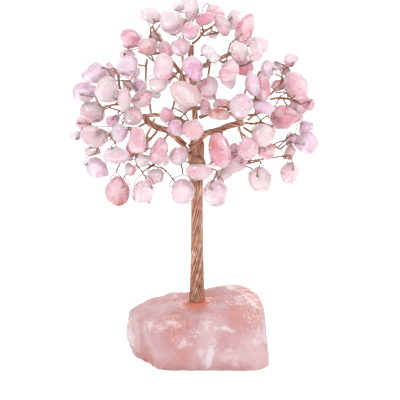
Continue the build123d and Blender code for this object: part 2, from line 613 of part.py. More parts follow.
class Wire:
    """A doubled wire: seat on the twig, bend, neck, and a loop through the hole of the stone."""

    def __init__(self, stone, seat, twig_way, at_tip, bend):
        s = unit(bend - stone.centre)
        top = stone.reach(s)
        neck = stone.centre + s * (top + NECK)
        if (bend - neck) @ s < NECK / 2:
            bend = neck + s * NECK / 2
        way = unit(bend - seat)
        at_tip = at_tip and way @ twig_way > SLANT_LIMIT_SHARE
        self.slant = 0 if at_tip else abs(float(way @ twig_way))
        pair = WIRE_HALF_PITCH + WIRE_RADIUS
        first = seat + way * seat_reach(way, twig_way, TWIG_RADIUS, pair, at_tip)
        a = unit(np.cross(bend - first, neck - bend))
        self.stone, self.up, self.axis = stone, s, a
        self.hole = stone.centre + s * top * HOLE_SHARE
        legs = []
        gap = LOOP_GAP + (SWING_GAP if stone.hanging else 0)
        for side in (-a, a):
            shoulder = unit(s * LOOP_TOP_SHARES[0] * top + side * LOOP_TOP_SHARES[1] * stone.reach(side))
            shoulder = stone.centre + shoulder * (stone.exit(stone.centre, shoulder) + gap)
            mouth = self.hole + side * (stone.exit(self.hole, side) + gap)
            legs.append([first + side * WIRE_HALF_PITCH, bend + side * WIRE_HALF_PITCH,
                         neck + side * WIRE_HALF_PITCH, shoulder, mouth])
        self.points = np.array(legs[0] + legs[1][::-1])
        limits = [BUNDLE_BEND, LOOP_BEND * 3, LOOP_BEND * 3, LOOP_BEND]
        self.radii = bend_radii(self.points, limits + limits[::-1])
        middle = np.array([first, bend, neck])
        stem = dotted(rounded(middle, bend_radii(middle, [BUNDLE_BEND])), DOT_SPACING)
        loop = rounded(self.points[2:8], self.radii[2:6])
        self.dots = np.vstack([stem, loop])

    def own_room(self):
        """Room between the loop and its own stone, also while a hanging stone swings."""
        stone = self.stone
        dots = dotted(rounded(self.points[1:9], self.radii[1:7]), WIRE_RADIUS * 2)
        off = np.linalg.norm(np.cross(dots - self.hole, self.axis), axis=1) > HOLE_RADIUS * 0.6
        least = np.inf
        for swing in (-STONE_SWING, 0, STONE_SWING) if stone.hanging else (0,):
            centre = turn(stone.centre, self.hole, self.axis, swing)
            axes = turn(stone.axes, 0, self.axis, swing)
            local = (dots[off] - centre) @ axes.T / stone.radii
            least = min(least, ((np.linalg.norm(local, axis=1) - 1) * stone.radii.min()).min())
        return least - WIRE_RADIUS


def wire_for(stone, seats, ways, tips):
    """The first wire with room all round it, or the best of all that were tried."""
    best = None
    order = np.argsort(np.linalg.norm(seats - stone.centre, axis=1))
    far = [k for k in order if np.linalg.norm(seats[k] - stone.centre)
           > stone.reach(unit(seats[k] - stone.centre)) + STEM_LEAST]
    far = far[:SEAT_TRIES * (3 if stone.hanging else 1)]
    reach = np.linalg.norm(seats[far] - stone.centre, axis=1).max()
    scope = crowd.scope(stone.limb, stone.centre, reach, stone.number)
    for size in HANG_SHARES if stone.hanging else BOW_SHARES:
        for k in far:
            seat = seats[k]
            chord = stone.centre - seat
            length = np.linalg.norm(chord)
            way = chord / length
            side = unit(np.cross(way, UP))
            lift = np.cross(side, way)
            bends = [
                seat + chord / 2 + length * size * (lift * math.cos(t) + side * math.sin(t))
                for t in np.radians([0, 45, -45, 90, -90, 135, -135, 180])
            ]
            if stone.hanging:
                bends = [stone.centre + UP * (stone.reach(UP) + NECK * size)]
            for bend in bends:
                wire = Wire(stone, seat, ways[k], tips[k], bend)
                room = crowd.room(stone.limb, wire.dots, WIRE_HALF_PITCH + WIRE_RADIUS, scope, seat,
                                  NECK * 2, WIRE_GAP)
                if wire.slant > SLANT_MOST_SHARE:
                    room -= STONE_LENGTH
                if best is not None and room <= best.room:
                    continue
                own = wire.own_room()
                if best is None or own > SEAT_GAP:
                    best = wire
                    best.room, best.own, best.place = room, own, k
                if best.room >= WIRE_GAP and best.own > SEAT_GAP:
                    return best
    return best


seats = {}
for limb, paths in twig_path.items():
    rows = [dotted(path, DOT_SPACING) for path in paths]
    ways = np.vstack([np.gradient(row, axis=0)[2:] for row in rows])
    tips = np.concatenate([np.arange(2, len(row)) == len(row) - 1 for row in rows])
    ways /= np.linalg.norm(ways, axis=1, keepdims=True)
    seats[limb] = (np.vstack([row[2:] for row in rows]), ways, tips)
wires = []
for stone in stones:
    wire = wire_for(stone, *seats[stone.limb])
    seats[stone.limb] = tuple(np.delete(column, wire.place, 0) for column in seats[stone.limb])
    crowd.add(stone.limb, [row for dot in wire.dots for row in poses_of(stone.limb, dot, BALL)],
              np.full(3, WIRE_HALF_PITCH + WIRE_RADIUS), WIRE_RADIUS, stone.number)
    wires.append(wire)


def vector(point):
    return tuple(float(c) for c in point)


def export(solids, name):
    """One file for one piece, or for a group of like pieces."""
    made = solids[0] if len(solids) == 1 else Compound(children=solids)
    made.label = name
    export_step(made, f"parts/{name}.step")


# The base: a block of rough stone, split off by flats, with a socket for the trunk
with BuildPart() as base:
    with BuildSketch(Plane.XY.offset(-BASE_SPARE)):
        Rectangle(BASE_WIDTH * BASE_SPARE_SHARE, BASE_DEPTH * BASE_SPARE_SHARE)
    extrude(amount=BASE_HEIGHT + BASE_SPARE * 2)
    for place, way in BASE_SHARES:
        point = np.array(place) * [BASE_WIDTH / 2, BASE_DEPTH / 2, BASE_HEIGHT]
        split(bisect_by=Plane(origin=vector(point), z_dir=vector(unit(way))), keep=Keep.BOTTOM)
    with BuildSketch(Plane.XY.offset(SOCKET_FOOT)):
        Circle(SOCKET_RADIUS)
    extrude(amount=BASE_HEIGHT, mode=Mode.SUBTRACT)
base.part.label = "base_stone"
export_step(base.part, "parts/base_stone.step")

# The glue: a cup round the trunk's foot that ends in a low bead on the stone
with BuildPart() as glue:
    with BuildSketch(Plane.XZ):
        with BuildLine():
            Polyline(
                (0, SOCKET_FOOT), (SOCKET_RADIUS, SOCKET_FOOT), (SOCKET_RADIUS, SOCKET_TOP - GLUE_BEAD * 2),
                (SOCKET_RADIUS + GLUE_BEAD, SOCKET_TOP - GLUE_BEAD * 2),
                (SOCKET_RADIUS + GLUE_BEAD, SOCKET_TOP),
                (TRUNK_RADIUS, SOCKET_TOP + GLUE_BEAD), (TRUNK_RADIUS, SOCKET_FOOT + SOCKET_FLOOR),
                (0, SOCKET_FOOT + SOCKET_FLOOR), close=True)
        make_face()
    revolve(axis=Axis.Z)
    add(base.part, mode=Mode.SUBTRACT)
export([max(glue.part.solids(), key=lambda s: s.volume)], "socket_glue")

# The trunk: a bundle with a slight waist
with BuildPart() as trunk:
    with BuildSketch(Plane.XZ):
        with BuildLine():
            Line((0, SOCKET_FOOT + SOCKET_FLOOR), (TRUNK_RADIUS, SOCKET_FOOT + SOCKET_FLOOR))
            Line((TRUNK_RADIUS, SOCKET_FOOT + SOCKET_FLOOR), (TRUNK_RADIUS, SOCKET_TOP + GLUE_BEAD))
            ThreePointArc((TRUNK_RADIUS, SOCKET_TOP + GLUE_BEAD), (TRUNK_WAIST_RADIUS, TRUNK_WAIST),
                          (TRUNK_RADIUS, TRUNK_SHOULDER))
            Line((TRUNK_RADIUS, TRUNK_SHOULDER), (LEADER_RADIUS, TRUNK_TOP))
            Line((LEADER_RADIUS, TRUNK_TOP), (0, TRUNK_TOP))
            Line((0, TRUNK_TOP), (0, SOCKET_FOOT + SOCKET_FLOOR))
        make_face()
    revolve(axis=Axis.Z)
trunk.part.label = "trunk"
export_step(trunk.part, "parts/trunk.step")


def bundle(points, radius, round_start=False):
    """A tube along a path of straight runs and arcs."""
    radii = bend_radii(points, [BUNDLE_BEND] * (len(points) - 2))
    keep = [0] + [k + 1 for k, r in enumerate(radii) if r > 0] + [len(points) - 1]
    radii = [r for r in radii if r > 0]
    with BuildPart() as tube:
        with BuildLine() as route:
            if radii:
                FilletPolyline(*[vector(points[k]) for k in keep], radius=radii)
            else:
                Line(vector(points[0]), vector(points[-1]))
        with BuildSketch(Plane(origin=vector(points[0]), z_dir=vector(unit(points[1] - points[0])))):
            Circle(radius)
        sweep(path=route.line)
        if round_start:
            with Locations(vector(points[0])):
                Sphere(radius)
    return tube.part


export([bundle(leader_path, LEADER_RADIUS)], "leader")
for limb, path in limb_path.items():
    export([bundle(path, limb_radius[limb], limb in MOVING)], f"limb_{limb}")
for limb, paths in twig_path.items():
    export([bundle(path, TWIG_RADIUS) for path in paths], f"twigs_{limb}")


def chip(stone, wire):
    """A chip: three balls in a row under one skin, with flats, drilled for its wire."""
    middle, along = vector(stone.centre), vector(stone.axes[0])
    length, width = stone.radii[:2]
    tail, head = (share * width ** 2 / length for share in END_SHARES[stone.kind])
    tail_way = (tail - width) / (length - tail)
    head_way = (width - head) / (length - head)

    def on_ball(centre, radius, angle):
        return (centre + radius * math.sin(angle), radius * math.cos(angle))

    low, high, end = math.asin(tail_way), math.asin(head_way), math.pi / 2
    with BuildPart() as made:
        with BuildSketch(Plane(origin=middle, x_dir=along, z_dir=vector(stone.axes[2]))):
            with BuildLine():
                rows = [(tail - length, tail, -end, low), (0, width, low, high)]
                rows += [(length - head, head, high, end)]
                for centre, radius, start, stop in rows:
                    ThreePointArc(*[on_ball(centre, radius, t) for t in (start, (start + stop) / 2, stop)])
                Line(on_ball(tail - length, tail, low), on_ball(0, width, low))
                Line(on_ball(0, width, high), on_ball(length - head, head, high))
                Line((length, 0), (-length, 0))
            make_face()
        revolve(axis=Axis(middle, along))
        for way, share in stone.flats:
            cut = stone.centre + way * stone.reach(way) * share
            split(bisect_by=Plane(origin=vector(cut), z_dir=vector(way)), keep=Keep.BOTTOM)
        with BuildSketch(Plane(origin=vector(wire.hole), z_dir=vector(wire.axis))):
            Circle(HOLE_RADIUS)
        extrude(amount=STONE_LENGTH, both=True, mode=Mode.SUBTRACT)
    return made.part


def loop(wire):
    """A wire folded double, through the hole of its stone."""
    points = wire.points
    with BuildPart() as made:
        with BuildLine() as route:
            FilletPolyline(*[vector(p) for p in points], radius=wire.radii)
        with BuildSketch(Plane(origin=vector(points[0]), z_dir=vector(unit(points[1] - points[0])))):
            Circle(WIRE_RADIUS)
        sweep(path=route.line)
    return made.part


for limb in TWIG_SHARES:
    mine = [wire for wire in wires if wire.stone.limb == limb]
    export([loop(wire) for wire in mine], f"wires_{limb}")
    export([chip(wire.stone, wire) for wire in mine if not wire.stone.hanging], f"stones_{limb}")
    for wire in mine:
        if wire.stone.hanging:
            export([chip(wire.stone, wire)], f"stone_{wire.stone.hanging}")
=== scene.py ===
"""Looks of the gemstone tree: twisted copper wire, tumbled rose quartz chips and a rough quartz base."""
import math

import bpy
import numpy as np
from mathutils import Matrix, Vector


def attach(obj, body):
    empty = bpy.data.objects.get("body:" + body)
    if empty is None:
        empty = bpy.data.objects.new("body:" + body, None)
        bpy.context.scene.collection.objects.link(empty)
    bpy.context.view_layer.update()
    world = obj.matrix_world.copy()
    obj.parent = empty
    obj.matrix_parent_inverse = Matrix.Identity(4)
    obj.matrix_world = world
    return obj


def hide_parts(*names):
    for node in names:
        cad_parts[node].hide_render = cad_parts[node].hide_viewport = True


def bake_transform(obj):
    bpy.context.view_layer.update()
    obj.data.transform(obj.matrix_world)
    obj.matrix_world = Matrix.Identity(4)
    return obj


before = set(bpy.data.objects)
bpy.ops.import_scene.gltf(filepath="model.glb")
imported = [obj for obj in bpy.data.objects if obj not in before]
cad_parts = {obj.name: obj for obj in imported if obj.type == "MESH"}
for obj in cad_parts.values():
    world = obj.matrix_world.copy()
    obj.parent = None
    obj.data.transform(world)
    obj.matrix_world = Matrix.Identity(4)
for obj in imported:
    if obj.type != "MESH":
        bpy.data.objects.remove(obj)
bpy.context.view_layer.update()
MM = 0.001
UP = np.array([0, 0, 1.0])

# The tree's plan, in millimetres: the same sizes, places and rules as the solids have, so that every
# stone, wire and twig drawn here lies where its solid lies. Driving sizes come first
CROWN_HALF_WIDTH = 52.2
CROWN_HALF_DEPTH = 34.0
CROWN_FOOT = 68.5
CROWN_HEIGHT = 91.2
CROWN_SHIFT = -0.9
STONE_LENGTH = 10.9
STONE_GAP = 0.4
HOLE_RADIUS = 0.5
WIRE_RADIUS = 0.22
WIRE_HALF_PITCH = 0.28
WIRE_GAP = 0.3
LOOP_GAP = 0.75
SWING_GAP = 0.35
NECK = 1.3
STEM_LEAST = 6.0
LOOP_BEND = 0.5
TRUNK_RADIUS = 3.5
TRUNK_WAIST_RADIUS = 2.7
TRUNK_TOP = 101.0
LEADER_RADIUS = 1.45
LIMB_RADIUS = 1.5
UPPER_LIMB_RADIUS = 1.0
TWIG_RADIUS = 0.62
BUNDLE_BEND = 6.0
SEAT_GAP = 0.14
JOINT_GAP = 0.3
BASE_WIDTH = 63.0
BASE_DEPTH = 43.0
BASE_HEIGHT = 33.4
SOCKET_DEPTH = 15.0
SOCKET_FLOOR = 1.2
GLUE_WALL = 0.7
GLUE_BEAD = 0.8
SOCKET_TOP = 26.4
SOCKET_FOOT = SOCKET_TOP - SOCKET_DEPTH
SOCKET_RADIUS = TRUNK_RADIUS + GLUE_WALL
TRUNK_WAIST = 66.0
TRUNK_SHOULDER = 96.5
PAIR_RADIUS = WIRE_HALF_PITCH + WIRE_RADIUS
SEAT_FREE = NECK * 2  # round its seat a wire may come near the bundle that it starts on
DOT_SPACING = TWIG_RADIUS * 2
LOOP_SHOULDER_BEND = LOOP_BEND * 3

# Shares, angles and tries
VIEW_SLOPE_SHARE = 0.2126  # rise per unit of depth in the picture the places were read from
CROWN_WAIST_SHARE = 0.38
CROWN_DOME_SHARE = 0.68
CROWN_RIM_SHARE = 0.06
HOLE_SHARE = 0.38
LOOP_TOP_SHARES = (0.80, 0.76)
TWIN_DEPTH_SHARE = 0.8
TWIN_SIZE_SHARE = 0.88
TWIN_AREA_SHARE = 0.74
TWIN_FRONT_SHARE = -0.28
BEND_SHARE = 0.42
ROLL_STEP = 137.5
ROLL_LIMIT = 32.0
LEAN_LIMIT = 14.0
SLANT_LIMIT_SHARE = 0.4
SLANT_MOST_SHARE = 0.85
LIMB_DROOP = 8.0
STONE_SWING = 25.0
BOW_TURNS = (0, 45, -45, 90, -90, 135, -135, 180)
STRAIGHT = 0.002  # radians, half a corner's turn below which it needs no arc
HOLE_LINE_SHARE = 0.6
DEPTH_TRIES = 120
SEAT_TRIES = 6
HANG_SEAT_TRIES = 18
CROWD_MOST = 20000
BOW_SHARES = (0.14, 0.3, 0.5)
HANG_SHARES = (1.8, 2.8, 4.2, 6.0)

# Stones by the limb that carries them: across and up in the crown, depth in the crown (front is
# negative), length, width, tilt of the long axis in degrees, kind, hue
STONE_SHARES = {
    "left": [
        (-0.91, 0.556, 0.0, 1.04, 0.83, 10, "oval", "lilac"),
        (-0.82, 0.644, -0.1, 1.13, 0.83, 28, "oval", "lilac"),
        (-0.71, 0.654, 0.35, 0.87, 0.65, 75, "oval", "peach"),
        (-0.72, 0.561, -0.5, 1.09, 0.96, 75, "oval", "cream"),
        (-0.56, 0.585, 0.2, 0.65, 0.48, 80, "oval", "red"),
        (-0.57, 0.507, -0.75, 1.13, 0.57, 85, "oval", "grey"),
        (-0.85, 0.459, -0.35, 1.25, 0.85, 175, "blunt", "pale"),
        (-0.93, 0.415, 0.3, 0.78, 0.65, 60, "oval", "pink"),
        (-0.675, 0.415, -0.2, 0.65, 0.52, 20, "oval", "magenta"),
        (-0.5, 0.434, -0.7, 0.96, 0.76, 0, "blunt", "peach"),
        (-0.46, 0.585, 0.1, 0.74, 0.65, 120, "wedge", "lilac"),
        (-0.42, 0.517, -0.2, 0.96, 0.74, 40, "oval", "pink"),
        (-0.825, 0.341, -0.4, 1.28, 0.91, -10, "blunt", "grey"),
        (-0.98, 0.346, 0.1, 0.61, 0.43, 15, "wedge", "grey"),
        (-0.86, 0.273, 0.4, 0.74, 0.4, 15, "oval", "pink"),
        (-0.64, 0.249, -0.55, 1.22, 0.7, -5, "oval", "pale"),
        (-0.61, 0.351, -0.65, 0.83, 0.74, 105, "wedge", "lilac"),
        (-0.46, 0.317, -0.85, 1.22, 0.78, 80, "blunt", "dusty"),
        (-0.525, 0.278, -0.35, 1.04, 0.43, 85, "oval", "rose"),
        (-0.425, 0.224, -0.5, 0.65, 0.57, 20, "oval", "white"),
        (-0.29, 0.263, -0.6, 1.35, 0.65, 68, "oval", "dusty"),
        (-0.32, 0.146, -0.45, 0.78, 0.7, 60, "oval", "pale"),
        (-0.54, 0.668, -0.4, 0.96, 0.87, 30, "oval", "lilac"),
        (-0.55, 0.732, 0.1, 0.78, 0.52, 0, "blunt", "grey"),
        (-0.53, 0.18, -0.45, 0.65, 0.48, 110, "wedge", "pink"),
    ],
    "right": [
        (0.56, 0.337, -0.7, 1.04, 0.96, 20, "oval", "peach"),
        (0.59, 0.268, -0.35, 0.87, 0.7, 20, "oval", "rose"),
        (0.92, 0.312, -0.15, 1.04, 0.96, 60, "oval", "lilac"),
        (0.925, 0.385, 0.35, 0.74, 0.65, 30, "oval", "lilac"),
        (0.82, 0.332, 0.3, 0.65, 0.57, 80, "oval", "lilac"),
        (0.79, 0.263, 0.1, 0.7, 0.52, 80, "oval", "peach"),
        (0.73, 0.429, -0.6, 1.13, 0.96, -10, "oval", "deep"),
        (0.425, 0.273, -0.6, 1.04, 0.78, 85, "oval", "light"),
        (0.34, 0.2, -0.4, 0.96, 0.65, 15, "oval", "pink"),
        (0.31, 0.263, -0.1, 0.87, 0.52, 75, "oval", "pink"),
        (0.2, 0.268, -0.75, 1.57, 0.83, 100, "oval", "rose"),
        (0.23, 0.156, 0.1, 0.96, 0.52, 15, "oval", "grey"),
        (0.56, 0.468, -0.75, 1.04, 0.52, -3, "blunt", "magenta"),
    ],
    "front": [
        (-0.01, 0.366, -0.8, 1.0, 0.87, 75, "wedge", "peach"),
        (0.03, 0.166, -0.7, 1.3, 0.61, 0, "oval", "pink"),
        (-0.13, 0.244, -0.45, 0.87, 0.78, 50, "wedge", "grey"),
        (-0.23, 0.439, -0.4, 0.7, 0.61, 100, "oval", "pink"),
        (-0.15, 0.376, -0.45, 0.83, 0.65, -35, "oval", "lilac"),
        (0.08, 0.478, -0.45, 0.78, 0.48, 85, "blunt", "dusty"),
    ],
    "leader": [
        (-0.07, 0.527, -0.85, 1.35, 0.94, -38, "oval", "peach"),
        (-0.01, 0.649, -0.8, 1.13, 0.78, -60, "oval", "magenta"),
        (0.1, 0.566, -0.5, 0.96, 0.87, 40, "oval", "pink"),
        (-0.025, 0.829, -0.75, 0.78, 0.74, 0, "oval", "dusty"),
        (-0.03, 0.941, -0.3, 1.09, 0.61, 85, "oval", "white"),
        (-0.13, 0.965, 0.1, 0.65, 0.52, 20, "oval", "white"),
        (-0.11, 0.873, -0.2, 0.78, 0.52, -60, "oval", "peach"),
        (0.16, 0.937, 0.2, 0.87, 0.74, -20, "oval", "pink"),
        (0.08, 0.888, -0.5, 0.91, 0.48, 15, "blunt", "hot"),
        (0.225, 0.863, -0.45, 0.96, 0.57, -70, "oval", "peach"),
        (0.32, 0.902, 0.2, 0.87, 0.65, 80, "oval", "white"),
        (0.15, 0.834, 0.4, 0.42, 0.37, 20, "oval", "lilac"),
        (0.12, 0.722, -0.6, 1.09, 0.52, -40, "blunt", "white"),
        (-0.12, 0.756, -0.7, 0.78, 0.74, 100, "oval", "pale"),
    ],
    "upper_left": [
        (-0.19, 0.883, -0.3, 1.13, 0.96, 10, "blunt", "pale"),
        (-0.36, 0.917, 0.0, 1.0, 0.74, 5, "blunt", "grey"),
        (-0.325, 0.82, 0.1, 0.61, 0.52, 60, "oval", "dusty"),
        (-0.525, 0.81, -0.1, 1.04, 0.83, 35, "oval", "hot"),
        (-0.38, 0.761, -0.5, 0.87, 0.74, 10, "blunt", "peach"),
        (-0.23, 0.751, -0.4, 0.78, 0.61, -45, "oval", "hot"),
        (-0.25, 0.659, -0.85, 1.22, 0.83, 80, "blunt", "pink"),
        (-0.29, 0.585, -0.6, 0.83, 0.7, 20, "oval", "cream"),
        (-0.31, 0.541, -0.2, 0.48, 0.37, 70, "oval", "white"),
    ],
    "top_right": [
        (0.36, 0.732, -0.65, 0.83, 0.74, 100, "oval", "cream"),
        (0.525, 0.771, -0.25, 1.04, 0.65, 22, "blunt", "pale"),
        (0.49, 0.712, -0.55, 0.7, 0.48, 0, "blunt", "dusty"),
        (0.41, 0.849, -0.3, 1.43, 0.7, 68, "oval", "rose"),
        (0.4, 0.668, -0.4, 0.87, 0.7, -20, "oval", "rose"),
        (0.275, 0.639, -0.8, 1.13, 0.74, 70, "oval", "pink"),
    ],
    "upper_right": [
        (0.84, 0.585, -0.3, 1.3, 1.0, 120, "oval", "pink"),
        (0.69, 0.59, 0.1, 0.65, 0.48, 10, "oval", "rose"),
        (0.79, 0.707, 0.0, 0.7, 0.57, 15, "wedge", "pink"),
        (0.67, 0.688, 0.4, 0.65, 0.43, 10, "oval", "pale"),
        (0.74, 0.668, 0.5, 0.48, 0.37, 30, "oval", "pink"),
        (0.59, 0.659, -0.2, 1.09, 0.61, 80, "wedge", "lilac"),
        (0.55, 0.571, -0.5, 1.22, 0.61, 95, "oval", "rose"),
        (0.46, 0.585, -0.7, 1.17, 0.57, 105, "oval", "lilac"),
        (0.88, 0.502, 0.0, 0.96, 0.78, 50, "oval", "hot"),
        (0.825, 0.454, -0.2, 0.96, 0.83, 100, "oval", "deep"),
        (0.95, 0.493, 0.15, 0.52, 0.4, 80, "oval", "pink"),
        (0.375, 0.478, -0.85, 1.13, 0.96, 100, "wedge", "pale"),
        (0.225, 0.493, -0.4, 1.0, 0.57, -5, "blunt", "dusty"),
        (0.2, 0.439, -0.65, 0.96, 0.52, -8, "oval", "red"),
    ],
}

# Stones that hang free below the crown, by name, with the limb first
HANGING_SHARES = {
    "wedge_left": ("left", -0.81, 0.19, -0.2, 1.13, 0.87, -35, "wedge", "lilac"),
    "egg_left": ("left", -0.64, 0.073, -0.45, 1.35, 1.0, 95, "oval", "deep"),
    "oval_left": ("left", -0.425, 0.073, -0.5, 1.22, 0.78, 70, "oval", "grey"),
    "diamond_front": ("front", -0.1, 0.073, -0.4, 1.17, 1.04, 90, "diamond", "pale"),
    "oval_front": ("front", 0.18, 0.068, -0.5, 1.17, 1.04, 60, "oval", "pale"),
    "oval_right": ("right", 0.54, 0.132, -0.4, 1.09, 0.96, 100, "oval", "peach"),
    "wedge_right": ("right", 0.79, 0.166, -0.2, 1.0, 0.87, 75, "wedge", "pink"),
}

# Hues of the stones behind, taken in steps that leave no row of one hue
TWIN_HUES = "pale light pink rose lilac peach white grey pink dusty".split()
TWIN_HUE_STEP = 7

# Bundles: across and up in the crown, depth as a share of the crown's half depth
LEADER_SHARES = [
    (0.0, 0.434, 0.0), (-0.01, 0.546, -0.05), (-0.033, 0.717, -0.05), (-0.033, 0.776, -0.05),
]
LIMB_SHARES = {
    "left": [(-0.225, 0.371, -0.1), (-0.375, 0.4, -0.15), (-0.42, 0.44, -0.15)],
    "right": [(0.083, 0.351, -0.16), (0.25, 0.385, -0.2), (0.4, 0.405, -0.22)],
    "upper_left": [(-0.125, 0.649, -0.05), (-0.233, 0.741, -0.05), (-0.292, 0.815, -0.05)],
    "top_right": [(0.167, 0.707, 0.02), (0.308, 0.741, -0.05)],
    "upper_right": [(0.29, 0.493, -0.05), (0.558, 0.517, -0.12)],
    "back_left": [(-0.2, 0.45, 0.3), (-0.4, 0.45, 0.45)],
    "back_right": [(0.22, 0.46, 0.3), (0.42, 0.45, 0.45)],
}
# Where on the leader the upper limbs leave it
LEAVE_SHARES = {
    "upper_left": 0.36, "top_right": 0.7, "upper_right": 0.16, "back_left": 0.05, "back_right": 0.3,
}
# Twigs by limb: the place along the limb where each leaves it, then its points. The front ones leave the
# trunk, and a place above one lies on the leader
TWIG_SHARES = {
    "left": [
        (1.0, [(-0.5, 0.47, -0.2), (-0.65, 0.493, -0.25), (-0.77, 0.48, -0.2)]),
        (0.93, [(-0.55, 0.53, -0.1), (-0.62, 0.58, -0.12), (-0.64, 0.66, -0.1)]),
        (0.86, [(-0.52, 0.366, -0.32), (-0.68, 0.361, -0.28), (-0.78, 0.31, -0.2)]),
        (0.6, [(-0.41, 0.3, -0.22), (-0.49, 0.25, -0.25), (-0.58, 0.245, -0.28)]),
        (0.4, [(-0.27, 0.31, -0.22), (-0.34, 0.2, -0.25)]),
    ],
    "right": [
        (1.0, [(0.53, 0.4, -0.3), (0.64, 0.385, -0.3)]),
        (0.92, [(0.5, 0.34, -0.18), (0.7, 0.28, -0.12)]),
        (0.84, [(0.43, 0.33, -0.3), (0.45, 0.21, -0.24)]),
        (0.6, [(0.26, 0.3, -0.3), (0.29, 0.19, -0.2)]),
        (0.96, [(0.5, 0.44, -0.36)]),
    ],
    "front": [
        (0.78, [(-0.1, 0.25, -0.22), (-0.12, 0.2, -0.22)]),
        (0.7, [(0.07, 0.23, -0.25), (0.12, 0.17, -0.28)]),
        (1.06, [(-0.07, 0.39, -0.25), (-0.14, 0.43, -0.28)]),
    ],
    "leader": [
        (1.0, [(0.058, 0.824, -0.08), (0.14, 0.863, 0.0)]),
        (0.98, [(-0.067, 0.834, -0.14), (-0.07, 0.9, -0.06)]),
        (0.7, [(0.075, 0.688, -0.2), (0.1, 0.665, -0.32)]),
        (0.4, [(-0.03, 0.6, -0.25), (0.0, 0.585, -0.4)]),
    ],
    "upper_left": [
        (1.0, [(-0.345, 0.865, 0.0)]),
        (0.72, [(-0.358, 0.727, -0.12), (-0.46, 0.745, -0.1)]),
        (0.35, [(-0.17, 0.62, -0.22)]),
    ],
    "top_right": [
        (1.0, [(0.39, 0.8, -0.05)]),
        (0.95, [(0.46, 0.727, -0.15)]),
        (0.6, [(0.26, 0.678, -0.25), (0.3, 0.66, -0.35)]),
    ],
    "upper_right": [
        (1.0, [(0.7, 0.58, -0.1), (0.78, 0.66, 0.0)]),
        (0.95, [(0.767, 0.525, -0.1), (0.84, 0.51, -0.05)]),
        (0.88, [(0.5, 0.595, -0.25), (0.53, 0.65, -0.2)]),
        (0.5, [(0.275, 0.463, -0.35)]),
    ],
    "back_left": [
        (1.0, [(-0.62, 0.47, 0.42)]),
        (0.92, [(-0.42, 0.62, 0.42), (-0.4, 0.72, 0.35)]),
        (0.55, [(-0.12, 0.6, 0.5), (-0.1, 0.75, 0.4)]),
        (0.84, [(-0.45, 0.27, 0.45), (-0.5, 0.2, 0.42)]),
    ],
    "back_right": [
        (1.0, [(0.65, 0.47, 0.42)]),
        (0.92, [(0.45, 0.62, 0.42), (0.45, 0.72, 0.35)]),
        (0.55, [(0.12, 0.6, 0.5), (0.12, 0.72, 0.45)]),
        (0.84, [(0.42, 0.27, 0.45), (0.38, 0.2, 0.42)]),
    ],
}
FORK_UP_SHARE = 0.3
FORK_LEFT_SHARE = -0.06
MOVING = ("left", "right")

# Flats that turn an egg into a chip: direction (along, across, through) and depth of the cut as a
# share of the egg's reach that way
CHIP_SHARES = {
    "oval": [((0.5, 0.75, 0.43), 0.93)],
    "blunt": [((1.0, 0.12, 0.0), 0.84), ((-1.0, 0.1, 0.1), 0.88)],
    "wedge": [((-1.0, 0.0, 0.1), 0.9)],
    "diamond": [],
}
# Balls at the tail and the head of a chip, as shares of the largest that its egg has room for
END_SHARES = {"oval": (0.98, 0.9), "blunt": (0.98, 0.98), "wedge": (0.98, 0.4), "diamond": (0.5, 0.45)}
FLAT_SHARES = (0.76, 0.84)

# Flats of the base: a place on each, as shares of half the width, half the depth and the height, and
# the way it faces
BASE_SHARES = [
    ((0.0, 0.0, 0.0), (0.0, 0.0, -1.0)),
    ((0.0, 0.0, 0.79), (-0.16, -0.1, 1.0)),
    ((0.42, 0.25, 0.91), (0.1, -0.08, 1.0)),
    ((0.7, 0.0, 0.9), (0.75, -0.1, 1.0)),
    ((0.97, -0.1, 0.62), (1.0, -0.12, 0.3)),
    ((1.0, 0.0, 0.25), (1.0, 0.05, 0.03)),
    ((0.92, -0.75, 0.3), (0.9, -0.75, 0.1)),
    ((-0.75, -0.2, 0.72), (-0.42, -0.1, 1.0)),
    ((-0.96, 0.0, 0.6), (-1.0, -0.1, 0.42)),
    ((-1.0, 0.1, 0.36), (-1.0, 0.1, -0.08)),
    ((-0.76, -0.2, 0.0), (-0.88, -0.47, -0.75)),
    ((-0.8, -0.72, 0.4), (-0.8, -1.0, 0.1)),
    ((0.1, -1.0, 0.25), (0.05, -1.0, 0.08)),
    ((0.0, -0.92, 0.56), (-0.06, -1.0, 0.55)),
    ((0.5, -0.85, 0.6), (0.35, -1.0, 0.6)),
    ((0.0, 1.0, 0.3), (0.0, 1.0, 0.1)),
    ((-0.7, 0.75, 0.4), (-0.8, 1.0, 0.25)),
    ((0.75, 0.8, 0.4), (0.8, 1.0, 0.2)),
    ((0.1, 0.8, 0.85), (-0.05, 1.0, 0.8)),
    ((0.0, -0.97, 0.04), (0.0, -0.9, -1.0)),
]


def unit(v):
    """A direction of length one."""
    return np.asarray(v, float) / np.linalg.norm(v)


def unit_rows(rows):
    """Directions of length one, a row for each."""
    return rows / np.linalg.norm(rows, axis=1, keepdims=True)


def crown_place(across, up, depth):
    """A place in the crown; a nearer one stands higher than it looks from a little above."""
    return np.array([
        CROWN_SHIFT + across * CROWN_HALF_WIDTH,
        depth,
        CROWN_FOOT + up * CROWN_HEIGHT - depth * VIEW_SLOPE_SHARE,
    ])


def crown_path(rows):
    """A path through places in the crown whose depths are shares of its half depth."""
    return np.array([crown_place(across, up, depth * CROWN_HALF_DEPTH) for across, up, depth in rows])


def crown_depth(across, up):
    """Half the depth of the domed crown behind one place of its outline."""
    rise = max(0.0, up - CROWN_WAIST_SHARE) / CROWN_DOME_SHARE
    return CROWN_HALF_DEPTH * math.sqrt(max(CROWN_RIM_SHARE, 1 - across ** 2 - rise ** 2))


